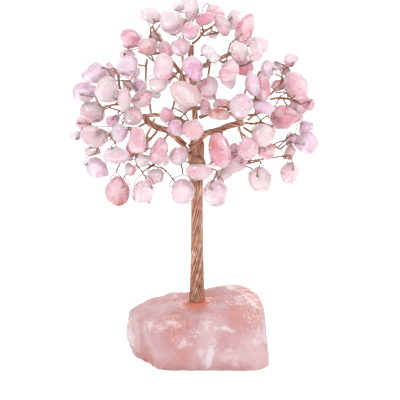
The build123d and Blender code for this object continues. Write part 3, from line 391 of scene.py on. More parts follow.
def turn(points, centre, axis, degrees):
    """Points, or directions if the centre is zero, turned about an axis."""
    angle = math.radians(degrees)
    rel = np.asarray(points, float) - centre
    along = np.outer(rel @ axis, axis).reshape(rel.shape)
    return centre + along + (rel - along) * math.cos(angle) + np.cross(axis, rel) * math.sin(angle)


def along_path(points, share):
    """The point at a share of a path's length, and the direction of the path there."""
    points = np.asarray(points, float)
    steps = np.linalg.norm(np.diff(points, axis=0), axis=1)
    want = share * steps.sum()
    for start, end, step in zip(points, points[1:], steps):
        if want <= step * (1 + 1e-9):
            return start + (end - start) * want / step, (end - start) / step
        want -= step
    return points[-1], unit(points[-1] - points[-2])


def dotted(points, spacing):
    """Points spread along a path."""
    points = np.asarray(points, float)
    rows = [points[:1]]
    for start, end in zip(points, points[1:]):
        count = max(1, math.ceil(np.linalg.norm(end - start) / spacing))
        rows.append(start + np.outer(np.arange(1, count + 1) / count, end - start))
    return np.vstack(rows)


def seat_reach(way, parent_way, parent_radius, radius, at_end=False):
    """How far out along its own way a tube starts so that its end face just clears its parent."""
    cosine = abs(float(way @ parent_way))
    sine = max(math.sqrt(1 - min(1.0, cosine) ** 2), SLANT_LIMIT_SHARE)
    if at_end:
        return (SEAT_GAP + radius * sine) / max(cosine, SLANT_LIMIT_SHARE)
    return (parent_radius + radius * cosine + SEAT_GAP) / sine


def seated(path, share, points, parent_radius, radius):
    """A path that starts beside its parent, or at its end, just clear of it."""
    parent, parent_way = along_path(path, share)
    way = unit(points[0] - parent)
    reach = seat_reach(way, parent_way, parent_radius, radius, share == 1.0)
    return np.vstack([parent + way * reach, points])


# The bundles of the tree
fork = crown_place(0, FORK_UP_SHARE, 0)
leader_path = np.vstack([[0, 0, TRUNK_TOP], [0, 0, TRUNK_TOP + LEADER_RADIUS], crown_path(LEADER_SHARES)])
beside = TRUNK_RADIUS + LIMB_RADIUS + JOINT_GAP
limb_pivot = {
    "left": np.array([-beside, 0.0, fork[2]]),
    "right": np.array([FORK_LEFT_SHARE * CROWN_HALF_WIDTH, -beside, fork[2]]),
}
trunk_path = np.array([[0, 0, CROWN_FOOT], leader_path[0]])
limb_axis = {"left": np.array([0.0, -1.0, 0.0]), "right": np.array([0.0, 1.0, 0.0])}
limb_radius = {limb: LIMB_RADIUS if limb in MOVING else UPPER_LIMB_RADIUS for limb in LIMB_SHARES}
limb_path = {}
for limb, rows in LIMB_SHARES.items():
    if limb in MOVING:
        limb_path[limb] = np.vstack([limb_pivot[limb], crown_path(rows)])
    else:
        limb_path[limb] = seated(
            leader_path, LEAVE_SHARES[limb], crown_path(rows), LEADER_RADIUS, limb_radius[limb])
twig_path = {}
for limb, rows in TWIG_SHARES.items():
    twig_path[limb] = []
    for share, places in rows:
        path, radius = limb_path.get(limb), limb_radius.get(limb)
        if limb == "leader":
            path, radius = leader_path, LEADER_RADIUS
        if limb == "front" and share < 1:
            path, radius = trunk_path, TRUNK_RADIUS
        elif limb == "front":
            path, radius, share = leader_path, LEADER_RADIUS, share - 1
        twig_path[limb].append(seated(path, share, crown_path(places), radius, TWIG_RADIUS))


# The stones: places as listed, each moved in depth by the least step that clears the ones before it
class Stone:
    """A chip as an egg: its middle, its own axes and radii, and the flats that cut it."""

    def __init__(self, number, limb, row, hanging=None):
        across, up, depth, length, width, tilt, self.kind, self.hue = row
        self.number, self.limb, self.hanging = number, limb, hanging
        self.centre = crown_place(across, up, depth * crown_depth(across, up))
        self.push = 1.0 if depth < 0 else -1.0
        lean = math.radians(LEAN_LIMIT * math.sin(number * ROLL_STEP))
        angle = math.radians(tilt)
        flat = np.array([math.cos(angle), 0.0, math.sin(angle)])
        through = np.array([0.0, 1.0, 0.0])
        along = flat * math.cos(lean) + through * math.sin(lean)
        across_axis = np.cross(through, flat)
        through = np.cross(along, across_axis)
        self.seen = np.array([along, across_axis, through])
        roll = math.radians(ROLL_LIMIT * math.cos(number * ROLL_STEP))
        self.axes = np.array([
            along,
            across_axis * math.cos(roll) + through * math.sin(roll),
            through * math.cos(roll) - across_axis * math.sin(roll),
        ])
        self.radii = np.array([length, width, width]) * STONE_LENGTH / 2
        self.flats = [(self.axes[2], FLAT_SHARES[0]), (-self.axes[2], FLAT_SHARES[1])]
        self.flats += [(unit(np.array(way) @ self.seen), share) for way, share in CHIP_SHARES[self.kind]]

    def reach(self, way):
        """How far the whole egg goes along a direction."""
        return float(np.linalg.norm(self.radii * (self.axes @ way)))

    def exit(self, point, way):
        """How far it is from a point inside, along a direction, to the egg's surface."""
        start = (self.axes @ (point - self.centre)) / self.radii
        step = (self.axes @ way) / self.radii
        half, square = start @ step, step @ step
        return float((-half + math.sqrt(half ** 2 - square * (start @ start - 1))) / square)


BALL = np.eye(3)  # the axes of a ball


def droops(limb):
    """How far a limb hangs below its rest: not at all and, if it bends, half of its bend and all of it."""
    return (0, LIMB_DROOP / 2, LIMB_DROOP) if limb in MOVING else (0,)


def drooped(limb, points, degrees):
    """Points on a limb, turned down with it about its root."""
    return turn(points, limb_pivot[limb], limb_axis[limb], degrees) if degrees else points


def poses_of(limb, centre, axes, pivot=None):
    """Places of a piece while its limb droops and, if it hangs, while it swings."""
    rows = []
    for index, degrees in enumerate(droops(limb)):
        middle = drooped(limb, centre, degrees)
        turned = turn(axes, 0, limb_axis[limb], degrees) if degrees else axes
        rows.append((index, middle, turned))
        if pivot is not None:
            hinge = drooped(limb, pivot, degrees)
            for axis in BALL[:2]:
                for swing in (-STONE_SWING, STONE_SWING):
                    rows.append((index, turn(middle, hinge, axis, swing), turn(turned, 0, axis, swing)))
    return rows


class Crowd:
    """Everything placed so far, as eggs: the bundles and the wires as rows of small balls."""

    def __init__(self, size):
        self.count = 0
        self.limb = np.zeros(size, int)
        self.droop = np.zeros(size, int)
        self.owner = np.zeros(size, int)
        self.centre = np.zeros((size, 3))
        self.axes = np.zeros((size, 3, 3))
        self.radii = np.zeros((size, 3))
        self.flat = np.zeros(size)

    def add(self, limb, poses, radii, flat, owner=-1):
        """A piece in each of its poses, and the number of its stone."""
        for index, centre, axes in poses:
            k = self.count
            self.limb[k], self.droop[k], self.owner[k] = LIMBS.index(limb), index, owner
            self.centre[k], self.axes[k], self.radii[k], self.flat[k] = centre, axes, radii, flat
            self.count += 1

    def near(self, limb, index, centre, reach):
        """Rows that can meet a piece of this limb inside a ball."""
        placed = slice(self.count)
        use = np.linalg.norm(self.centre[placed] - centre, axis=1) < self.radii[placed].max(1) + reach
        same = self.limb[placed] == LIMBS.index(limb)
        return np.nonzero(use & (~same | ((self.droop[placed] == 0) & (index == 0))))[0]

    def clear(self, limb, poses, radii, flat, gap):
        """Whether an egg stays clear: some direction must part it from each of the others."""
        for index, centre, axes in poses:
            use = self.near(limb, index, centre, radii.max() + gap)
            if not len(use):
                continue
            apart = self.centre[use] - centre
            others = self.axes[use]
            # The ways are the line between the middles and the axes of both; flats cut the last axis of each
            ways = np.concatenate([
                unit_rows(apart)[:, None, :], np.broadcast_to(axes, others.shape), others], axis=1)
            own = np.linalg.norm((ways @ axes.T) * radii, axis=2)
            own[:, 3] = flat
            other = (ways @ others.transpose(0, 2, 1)) * self.radii[use][:, None, :]
            other = np.linalg.norm(other, axis=2)
            other[:, 6] = self.flat[use]
            room = np.abs((ways * apart[:, None, :]).sum(2)) - own - other
            if (room.max(1) < gap).any():
                return False
        return True

    def scope(self, limb, centre, reach, owner):
        """Rows round a stone that its wire could meet, for each droop of its limb."""
        sets = []
        for index, degrees in enumerate(droops(limb)):
            use = self.near(limb, index, drooped(limb, centre, degrees), reach)
            use = use[self.owner[use] != owner]
            scale = self.axes[use] / self.radii[use][:, :, None]
            sets.append((degrees, self.owner[use], self.centre[use], scale, self.radii[use].min(1)))
        return sets


def room_round(wire, scope):
    """The least room round a wire, leaving out the bundle that it starts on."""
    least = np.inf
    for degrees, owner, centre, scale, thin in scope:
        moved = drooped(wire.stone.limb, wire.dots, degrees)
        middle = (moved.min(0) + moved.max(0)) / 2
        reach = np.linalg.norm(moved - middle, axis=1).max() + PAIR_RADIUS + WIRE_GAP
        use = np.linalg.norm(centre - middle, axis=1) < reach + STONE_LENGTH
        if not degrees:
            use &= (owner >= 0) | (np.linalg.norm(centre - wire.seat, axis=1) > SEAT_FREE)
        if not use.any():
            continue
        rel = moved[:, None, :] - centre[use]
        local = np.matmul(scale[use], rel[:, :, :, None])[:, :, :, 0]
        room = (np.sqrt((local ** 2).sum(2)) - 1) * thin[use]
        least = min(least, room.min() - PAIR_RADIUS)
        if least < 0:
            break
    return least


LIMBS = ["root", "front", "leader"] + list(LIMB_SHARES)
crowd = Crowd(CROWD_MOST)
for limb, path, radius in (
    [("root", leader_path, LEADER_RADIUS), ("root", trunk_path, TRUNK_RADIUS)]
    + [(limb, path, limb_radius[limb]) for limb, path in limb_path.items()]
    + [(limb, path, TWIG_RADIUS) for limb, paths in twig_path.items() for path in paths]
):
    for dot in dotted(path, DOT_SPACING):
        crowd.add(limb, poses_of(limb, dot, BALL), np.full(3, radius), radius)

rows = [(row[0], row[1:], name) for name, row in HANGING_SHARES.items()]
rows += [(limb, row, None) for limb, table in STONE_SHARES.items() for row in table]
twins = []
for limb, row, name in rows:
    across, up, depth, length, width, tilt, kind, hue = row
    if depth <= TWIN_FRONT_SHARE and length * width > TWIN_AREA_SHARE:
        side = "back_left" if across < 0 else "back_right"
        length, width = length * TWIN_SIZE_SHARE, width * TWIN_SIZE_SHARE
        hue = TWIN_HUES[len(twins) * TWIN_HUE_STEP % len(TWIN_HUES)]
        twins.append((side, (across, up, TWIN_DEPTH_SHARE, length, width, 180 - tilt, kind, hue), None))
stones = []
for number, (limb, row, name) in enumerate(rows + twins):
    stone = Stone(number, limb, row, name)
    flat = stone.radii[2] * FLAT_SHARES[1]
    start = stone.centre
    pivot_up = UP * stone.reach(UP) * HOLE_SHARE
    for k in range(DEPTH_TRIES):
        shift = STONE_GAP * 2 * ((k + 1) // 2) * (stone.push if k % 2 else -stone.push)
        stone.centre = start + np.array([0, shift, -shift * VIEW_SLOPE_SHARE])
        poses = poses_of(limb, stone.centre, stone.axes, stone.centre + pivot_up if name else None)
        if crowd.clear(limb, poses, stone.radii, flat, STONE_GAP):
            break
    crowd.add(limb, poses, stone.radii, flat, number)
    stones.append(stone)


# The wires: from a free place on a twig, in one bend, to a loop through the stone's hole
def bend_radii(points, limits):
    """Radii for the corners of a path, small enough for the straight runs beside them."""
    radii = []
    for before, at, after, limit in zip(points, points[1:], points[2:], limits):
        one, two = at - before, after - at
        half = math.acos(np.clip(unit(one) @ unit(two), -1, 1)) / 2
        run = BEND_SHARE * min(np.linalg.norm(one), np.linalg.norm(two))
        radii.append(min(limit, run / math.tan(half)) if half > STRAIGHT else 0.0)
    return radii


def rounded(points, radii, count=5):
    """Points along a path whose corners are arcs."""
    rows = [points[0]]
    for before, at, after, radius in zip(points, points[1:], points[2:], radii):
        one, two = unit(at - before), unit(after - at)
        half = math.acos(np.clip(one @ two, -1, 1)) / 2
        if radius <= 0 or half < STRAIGHT:
            rows.append(at)
            continue
        start = at - one * radius * math.tan(half)
        side = unit(two - one * (one @ two))
        for k in range(count + 1):
            angle = 2 * half * k / count
            rows.append(start + one * radius * math.sin(angle) + side * radius * (1 - math.cos(angle)))
    rows.append(points[-1])
    return np.array(rows)


class Wire:
    """A doubled wire: seat on the twig, bend, neck, and a loop through the hole of the stone."""

    def __init__(self, stone, seat, twig_way, at_tip, bend):
        up = unit(bend - stone.centre)
        top = stone.reach(up)
        neck = stone.centre + up * (top + NECK)
        if (bend - neck) @ up < NECK / 2:
            bend = neck + up * NECK / 2
        way = unit(bend - seat)
        at_tip = at_tip and way @ twig_way > SLANT_LIMIT_SHARE
        self.slant = 0 if at_tip else abs(float(way @ twig_way))
        first = seat + way * seat_reach(way, twig_way, TWIG_RADIUS, PAIR_RADIUS, at_tip)
        axis = unit(np.cross(bend - first, neck - bend))
        self.stone, self.seat, self.up, self.axis = stone, seat, up, axis
        self.hole = stone.centre + up * top * HOLE_SHARE
        gap = LOOP_GAP + (SWING_GAP if stone.hanging else 0)
        legs = []
        for side in (-axis, axis):
            shoulder = unit(up * LOOP_TOP_SHARES[0] * top + side * LOOP_TOP_SHARES[1] * stone.reach(side))
            shoulder = stone.centre + shoulder * (stone.exit(stone.centre, shoulder) + gap)
            mouth = self.hole + side * (stone.exit(self.hole, side) + gap)
            stem = [place + side * WIRE_HALF_PITCH for place in (first, bend, neck)]
            legs.append([*stem, shoulder, mouth])
        self.points = np.array(legs[0] + legs[1][::-1])
        limits = [BUNDLE_BEND, LOOP_SHOULDER_BEND, LOOP_SHOULDER_BEND, LOOP_BEND]
        self.radii = bend_radii(self.points, limits + limits[::-1])
        middle = np.array([first, bend, neck])
        stem = dotted(rounded(middle, bend_radii(middle, [BUNDLE_BEND])), DOT_SPACING)
        loop = rounded(self.points[2:8], self.radii[2:6])
        self.dots = np.vstack([stem, loop])

    def own_room(self):
        """Room between the loop and its own stone, also while a hanging stone swings."""
        stone = self.stone
        dots = dotted(rounded(self.points[1:9], self.radii[1:7]), WIRE_RADIUS * 2)
        off = np.linalg.norm(np.cross(dots - self.hole, self.axis), axis=1) > HOLE_RADIUS * HOLE_LINE_SHARE
        least = np.inf
        for swing in (-STONE_SWING, 0, STONE_SWING) if stone.hanging else (0,):
            centre = turn(stone.centre, self.hole, self.axis, swing)
            axes = turn(stone.axes, 0, self.axis, swing)
            local = (dots[off] - centre) @ axes.T / stone.radii
            least = min(least, ((np.linalg.norm(local, axis=1) - 1) * stone.radii.min()).min())
        return least - WIRE_RADIUS


def bend_places(stone, seat, size):
    """Where a wire may bend on its way: above a stone that hangs, or else off to one side of the chord."""
    if stone.hanging:
        return [stone.centre + UP * (stone.reach(UP) + NECK * size)]
    chord = stone.centre - seat
    length = np.linalg.norm(chord)
    way = chord / length
    side = unit(np.cross(way, UP))
    lift = np.cross(side, way)
    bows = [lift * math.cos(angle) + side * math.sin(angle) for angle in np.radians(BOW_TURNS)]
    return [seat + chord / 2 + length * size * bow for bow in bows]


def wire_for(stone, seats, ways, tips):
    """The first wire with room all round it, or the best of all that were tried."""
    best = None
    order = np.argsort(np.linalg.norm(seats - stone.centre, axis=1))
    far = [k for k in order if np.linalg.norm(seats[k] - stone.centre)
           > stone.reach(unit(seats[k] - stone.centre)) + STEM_LEAST]
    far = far[:HANG_SEAT_TRIES if stone.hanging else SEAT_TRIES]
    reach = np.linalg.norm(seats[far] - stone.centre, axis=1).max()
    scope = crowd.scope(stone.limb, stone.centre, reach, stone.number)
    for size in HANG_SHARES if stone.hanging else BOW_SHARES:
        for k in far:
            for bend in bend_places(stone, seats[k], size):
                wire = Wire(stone, seats[k], ways[k], tips[k], bend)
                wire.place, wire.room = k, room_round(wire, scope)
                if wire.slant > SLANT_MOST_SHARE:
                    wire.room -= STONE_LENGTH
                if best is not None and wire.room <= best.room:
                    continue
                wire.own = wire.own_room()
                if best is None or wire.own > SEAT_GAP:
                    best = wire
                if best.room >= WIRE_GAP and best.own > SEAT_GAP:
                    return best
    return best


seats = {}
for limb, paths in twig_path.items():
    rows = [dotted(path, DOT_SPACING) for path in paths]
    ways = unit_rows(np.vstack([np.gradient(row, axis=0)[2:] for row in rows]))
    tips = np.concatenate([np.arange(2, len(row)) == len(row) - 1 for row in rows])
    seats[limb] = (np.vstack([row[2:] for row in rows]), ways, tips)
wires = []
for stone in stones:
    wire = wire_for(stone, *seats[stone.limb])
    seats[stone.limb] = tuple(np.delete(column, wire.place, 0) for column in seats[stone.limb])
    crowd.add(stone.limb, [row for dot in wire.dots for row in poses_of(stone.limb, dot, BALL)],
              np.full(3, PAIR_RADIUS), WIRE_RADIUS, stone.number)
    wires.append(wire)


# Meshes
def add_mesh(name, skin, material, body=None, stands_for=None):
    """A mesh object at the origin from whole arrays: points in millimetres, triangles as rows of corners."""
    points, faces = np.asarray(skin[0], np.float32) * MM, np.asarray(skin[1], np.int32)
    mesh = bpy.data.meshes.new(name)
    mesh.vertices.add(len(points))
    mesh.vertices.foreach_set("co", points.ravel())
    mesh.loops.add(faces.size)
    mesh.loops.foreach_set("vertex_index", faces.ravel())
    mesh.polygons.add(len(faces))
    mesh.polygons.foreach_set("loop_start", np.arange(0, faces.size, 3, dtype=np.int32))
    mesh.polygons.foreach_set("use_smooth", np.ones(len(faces), bool))
    mesh.update(calc_edges=True)
    mesh.materials.append(material)
    made = bpy.data.objects.new(name, mesh)
    bpy.context.scene.collection.objects.link(made)
    if body:
        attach(made, body)
    if stands_for:
        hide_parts(stands_for)
    return made


def round_angles(count):
    """Angles all the way round, in even steps."""
    return np.arange(count) * 2 * math.pi / count


def sheet(grid, ends=None):
    """Points and triangles of a grid whose columns close on themselves; its rows close on themselves too,
    or end in one point each."""
    rows, columns = grid.shape[:2]
    row = np.arange(rows - 1 if ends else rows)[:, None]
    here, there = row * columns, (row + 1) % rows * columns
    left = np.arange(columns)
    right = (left + 1) % columns
    one = np.stack([here + left, here + right, there + right], -1).reshape(-1, 3)
    two = np.stack([here + left, there + right, there + left], -1).reshape(-1, 3)
    points, faces = grid.reshape(-1, 3), [one, two]
    if ends:
        low, last = rows * columns, (rows - 1) * columns
        faces.append(np.stack([np.full(columns, low), right, left], -1))
        faces.append(np.stack([np.full(columns, low + 1), last + left, last + right], -1))
        points = np.vstack([points, ends])
    return points, np.vstack(faces)


def gather(skins):
    """Several point and face arrays as one."""
    starts = np.cumsum([0] + [len(points) for points, _ in skins])
    faces = np.vstack([faces + start for (_, faces), start in zip(skins, starts)])
    return np.vstack([points for points, _ in skins]), faces


def colour_points(made, name, values):
    """A linear colour or a grey per point, for a shader to read."""
    layer = made.data.attributes.new(name, "FLOAT_COLOR", "POINT")
    rgba = np.ones((len(values), 4), np.float32)
    rgba[:, :3] = values if values.ndim > 1 else values[:, None]
    layer.data.foreach_set("color", rgba.ravel())


WAVE_SPREAD = 0.6
WAVE_PEAK = 1.4


def waves(points, seed, size, count=9):
    """A smooth random field of about -1 to 1: a sum of plane waves about as long as the given size."""
    rng = np.random.default_rng(seed)
    ways = rng.normal(size=(count, 3)) * (2 * math.pi / size) * WAVE_SPREAD
    phases = rng.uniform(0, 2 * math.pi, count)
    return np.sin(points @ ways.T + phases).sum(-1) / math.sqrt(count) / WAVE_PEAK


# Materials
def linear(code):
    """An sRGB hex colour as linear values."""
    parts = np.array([int(code[k:k + 2], 16) for k in (1, 3, 5)]) / 255
    return np.where(parts <= 0.04045, parts / 12.92, ((parts + 0.055) / 1.055) ** 2.4)


def scale_of(size):
    """A texture's scale for features about as large as a size in millimetres."""
    return 1 / (size * MM)


def node(tree, kind, links=(), sockets=(), stops=(), **settings):
    """A shader node with its settings, its links as (input, node, output), its inputs' own values, and the
    stops of a ramp as (place, linear colour or grey)."""
    made = tree.nodes.new("ShaderNode" + kind)
    for name, value in settings.items():
        setattr(made, name, value)
    for target, source, output in links:
        tree.links.new(source.outputs[output], made.inputs[target])
    for target, value in dict(sockets).items():
        made.inputs[target].default_value = (*value, 1) if isinstance(value, np.ndarray) else value
    for k, (place, colour) in enumerate(stops):
        stop = made.color_ramp.elements[k] if k < 2 else made.color_ramp.elements.new(place)
        stop.position = place
        stop.color = (*np.broadcast_to(colour, 3).tolist(), 1)
    return made


def new_material(name):
    """An empty material, its node tree, and the node that gives places on a piece."""
    material = bpy.data.materials.new(name)
    material.use_nodes = True
    material.node_tree.nodes.clear()
    return material, material.node_tree, node(material.node_tree, "TexCoord")


def finished(material, links, sockets):
    """The material with its shader, from the nodes that drive it and the values that hold all over."""
    shader = node(material.node_tree, "BsdfPrincipled", links, sockets)
    node(material.node_tree, "OutputMaterial", [("Surface", shader, "BSDF")])
    return material


def tumbled_quartz():
    """Rose quartz polished in a drum: evenly milky and translucent under a wet polish, with faint clouds and
    small painted glints, white specks where light would catch a healed crack."""
    material, tree, place = new_material("rose_quartz_tumbled_chip")
    tint = node(tree, "Attribute", attribute_name="tint")
    cloud = node(tree, "TexNoise", [("Vector", place, "Object")],
                 {"Scale": scale_of(6.5), "Detail": 3, "Distortion": 0.5})
    milk = node(tree, "ValToRGB", [("Fac", cloud, "Fac")], stops=[(0.4, 0), (0.62, 0.8)])
    pale = node(tree, "Mix", [("Factor", milk, "Color"), (6, tint, "Color")], {7: linear("#FBEEF2")},
                data_type="RGBA")
    fleck = node(tree, "TexNoise", [("Vector", place, "Object")],
                 {"Scale": scale_of(1.8), "Detail": 3, "Distortion": 1.8})
    # painted glints: white specks mixed into the chip's colour
    glint = node(tree, "ValToRGB", [("Fac", fleck, "Fac")], stops=[(0.66, 0), (0.72, 0.75)])
    glinted = node(tree, "Mix", [("Factor", glint, "Color"), (6, pale, 2)], {7: linear("#FFFBFB")},
                   data_type="RGBA")
    gloss = node(tree, "ValToRGB", [("Fac", cloud, "Fac")], stops=[(0.35, 0.2), (0.7, 0.4)])
    bump = node(tree, "Bump", [("Height", cloud, "Fac")], {"Strength": 0.1, "Distance": 0.6 * MM})
    links = [("Base Color", glinted, 2), ("Roughness", gloss, "Color"), ("Normal", bump, "Normal")]
    return finished(material, links, {
        "IOR": 1.54, "Subsurface Weight": 0.85, "Subsurface Radius": (1, 0.7, 0.76),
        "Subsurface Scale": 3 * MM, "Transmission Weight": 0.42, "Coat Weight": 0.7, "Coat Roughness": 0.03})


def rough_quartz():
    """Rose quartz as it breaks: mauve, salmon and milky zones, clusters of painted white glints and short
    cracks, frosted facets, and a copper glow round the socket. The piece says where: cracks, facets, glow."""
    material, tree, place = new_material("rose_quartz_rough_break")
    marks = node(tree, "Attribute", attribute_name="marks")
    split = node(tree, "SeparateColor", [("Color", marks, "Color")])
    zone = node(tree, "TexNoise", [("Vector", place, "Object")],
                {"Scale": scale_of(17), "Detail": 3, "Distortion": 0.7})
    body = node(tree, "ValToRGB", [("Fac", zone, "Fac")], stops=[
        (0.34, linear("#D8958E")), (0.5, linear("#D6A4A6")), (0.64, linear("#E0BEC3"))])
    fleck = node(tree, "TexNoise", [("Vector", place, "Object")],
                 {"Scale": scale_of(1), "Detail": 6, "Distortion": 2.2})
    # painted glints: white specks, denser where the base is cracked
    glint_chance = node(tree, "Math", [(0, split, "Red"), (2, fleck, "Fac")], {1: 0.15}, operation="MULTIPLY_ADD")
    glint = node(tree, "ValToRGB", [("Fac", glint_chance, "Value")], stops=[(0.63, 0), (0.75, 0.65)])
    bent = node(tree, "Mix", [(4, place, "Object"), (5, fleck, "Color")], {"Factor": 1.6 * MM},
                data_type="VECTOR")
    web = node(tree, "TexVoronoi", [("Vector", bent, 1)], {"Scale": scale_of(4.5)},
               feature="DISTANCE_TO_EDGE")
    line = node(tree, "ValToRGB", [("Fac", web, "Distance")], stops=[(0.01, 0.9), (0.05, 0)])
    gap = node(tree, "TexNoise", [("Vector", place, "Object")], {"Scale": scale_of(2.5), "Detail": 2})
    left = node(tree, "ValToRGB", [("Fac", gap, "Fac")], stops=[(0.42, 0), (0.52, 1)])
    short = node(tree, "Math", [(0, line, "Color"), (1, left, "Color")], operation="MULTIPLY")
    crack = node(tree, "Math", [(0, short, "Value"), (1, split, "Red")], operation="MULTIPLY")
    # the cracks and the painted glints both turn the colour white
    both = node(tree, "Math", [(0, crack, "Value"), (1, glint, "Color")], operation="MAXIMUM")
    layers = [(both, "Value", "#FBF2F4"), (split, "Green", "#EFE6E6"), (split, "Blue", "#EC8563")]
    colour, output = body, "Color"
    for where, value, code in layers:
        colour = node(tree, "Mix", [("Factor", where, value), (6, colour, output)], {7: linear(code)},
                      data_type="RGBA")
        output = 2
    gloss = node(tree, "ValToRGB", [("Fac", fleck, "Fac")], stops=[(0.35, 0.3), (0.65, 0.5)])
    chips = node(tree, "TexVoronoi", [("Vector", place, "Object")], {"Scale": scale_of(6), "Detail": 2})
    bump = node(tree, "Bump", [("Height", chips, "Distance")], {"Strength": 0.16, "Distance": 1.2 * MM})
    links = [("Base Color", colour, output), ("Roughness", gloss, "Color"), ("Normal", bump, "Normal")]
    return finished(material, links, {
        "IOR": 1.54, "Subsurface Weight": 0.45, "Subsurface Radius": (1, 0.82, 0.82),
        "Subsurface Scale": 1.5 * MM, "Transmission Weight": 0.25})


def drawn_copper():
    """Bare drawn copper: rosy metal, duller and browner in patches, and painted shade, dark in the grooves of
    a bundle.
    """
    material, tree, place = new_material("copper_wire_drawn")
    patch = node(tree, "TexNoise", [("Vector", place, "Object")], {"Scale": scale_of(3), "Detail": 4})
    colour = node(tree, "ValToRGB", [("Fac", patch, "Fac")], stops=[
        (0.32, linear("#BE836C")), (0.5, linear("#D7A48C")), (0.68, linear("#EECCB8"))])
    shade = node(tree, "Attribute", attribute_name="shade")
    # painted shade: the copper is mixed towards dark brown in the grooves between strands and on the lone
    # wires
    groove_shade = node(tree, "ValToRGB", [("Fac", shade, "Fac")], stops=[(0.3, 0.85), (0.8, 0)])
    dark = node(tree, "Mix", [("Factor", groove_shade, "Color"), (6, colour, "Color")], {7: linear("#532A1C")},
                data_type="RGBA")
    gloss = node(tree, "ValToRGB", [("Fac", patch, "Fac")], stops=[(0.3, 0.42), (0.7, 0.26)])
    return finished(material, [("Base Color", dark, 2), ("Roughness", gloss, "Color")], {"Metallic": 1})


def set_glue():
    """Glue, poured and set: a glossy film, orange from the copper where it is deep and pink as the stone
    where it thins. The piece says how deep it is."""
    material, tree, place = new_material("glue_clear_set")
    depth = node(tree, "Attribute", attribute_name="depth")
    cloud = node(tree, "TexNoise", [("Vector", place, "Object")], {"Scale": scale_of(3.5), "Detail": 2})
    uneven = node(tree, "Math", [(0, cloud, "Fac"), (2, depth, "Fac")], {1: 0.25}, operation="MULTIPLY_ADD")
    colour = node(tree, "ValToRGB", [("Fac", uneven, "Value")], stops=[
        (0.1, linear("#DB8E76")), (0.55, linear("#D07B5E")), (1, linear("#A8553A"))])
    return finished(material, [("Base Color", colour, "Color")], {
        "Roughness": 0.35, "IOR": 1.48, "Subsurface Weight": 0.6, "Subsurface Scale": 3 * MM})


QUARTZ, ROUGH, COPPER, GLUE = tumbled_quartz(), rough_quartz(), drawn_copper(), set_glue()

# Stone colours
HUES = {
    "pale": "#FBDBE4", "light": "#F9CFDA", "pink": "#F8C1CF", "rose": "#F0ACBC", "deep": "#E290A0",
    "hot": "#F7AEC5", "lilac": "#F8D5EA", "peach": "#FBD1D4", "cream": "#FBDCDF", "white": "#FCE6EE",
    "grey": "#F6D4DD", "red": "#E8908A", "magenta": "#F5BDDD", "dusty": "#F2C0CD",
}
# How much a hue deepens to one side, by red, green and blue, and over how many half lengths of the stone
HUE_DRIFT = (0.04, 0.13, 0.1)
HUE_DRIFT_SIZE = 3.5
HUE_SEED = 900
# Blotches in some stones: by stone number, colour, place as shares across, through and up in the stone, reach
BLOTCHES = {
    1: ("#CF5F4C", (0.1, -0.3, -0.75), 0.75), 5: ("#F0C3A6", (0.4, -0.4, -0.3), 0.6),
    19: ("#9C8583", (0.3, -0.6, 0.25), 0.4), 42: ("#DB8A77", (-0.45, -0.5, 0.35), 0.45),
    38: ("#C9657F", (0.55, -0.3, 0.25), 0.7), 93: ("#C4502F", (-0.2, -0.4, 0.0), 0.8),
    67: ("#CF8A72", (0.3, -0.3, -0.3), 0.6), 69: ("#DD9C83", (0.2, -0.4, -0.5), 0.6),
    13: ("#DC8C9C", (-0.7, -0.2, -0.6), 0.6), 77: ("#D3798C", (-0.4, -0.2, -0.6), 0.8),
}
BLOTCH_EDGE = 1.6


def chip_tint(stone, points):
    """The colour of a chip at each point: its own hue, a little deeper to one side, and its blotch if any."""
    rel = (points - stone.centre) / stone.radii.max()
    side = waves(rel, stone.number + HUE_SEED, HUE_DRIFT_SIZE)[:, None]
    tint = linear(HUES[stone.hue]) * (1 + np.array(HUE_DRIFT) * side)
    if stone.number in BLOTCHES:
        colour, place, reach = BLOTCHES[stone.number]
        near = np.exp(-(np.linalg.norm(rel - place, axis=1) / reach) ** 2 * BLOTCH_EDGE)[:, None]
        tint = tint * (1 - near) + linear(colour) * near
    return np.clip(tint, 0, 1)


# Chips: rows and columns of the grid, how crisp the edges are, the soft flats that tumbling left with how
# deep they cut and how they shun one axis, and dents with their wavelength, depth and seed
CHIP_GRID = (28, 36)
CHIP_EDGE_POWER = 14
CHIP_SEED = 400
SOFT_FLATS = 8
SOFT_FLAT_SHARES = (0.78, 0.98)
SOFT_WAY_SHARES = (1, 0.45, 1)
EGG_SHARE = 0.955
TAPERED = ("wedge", "diamond")
DENTS = ((5.5, 0.5, 0), (2.6, 0.16, 50))
DENT_SHARE, DENT_START, DENT_MOST = 0.05, 0.4, 1.2
HULL_ANGLES = 91
BORE_WALL_SHARE = 0.7
HALVINGS = 15


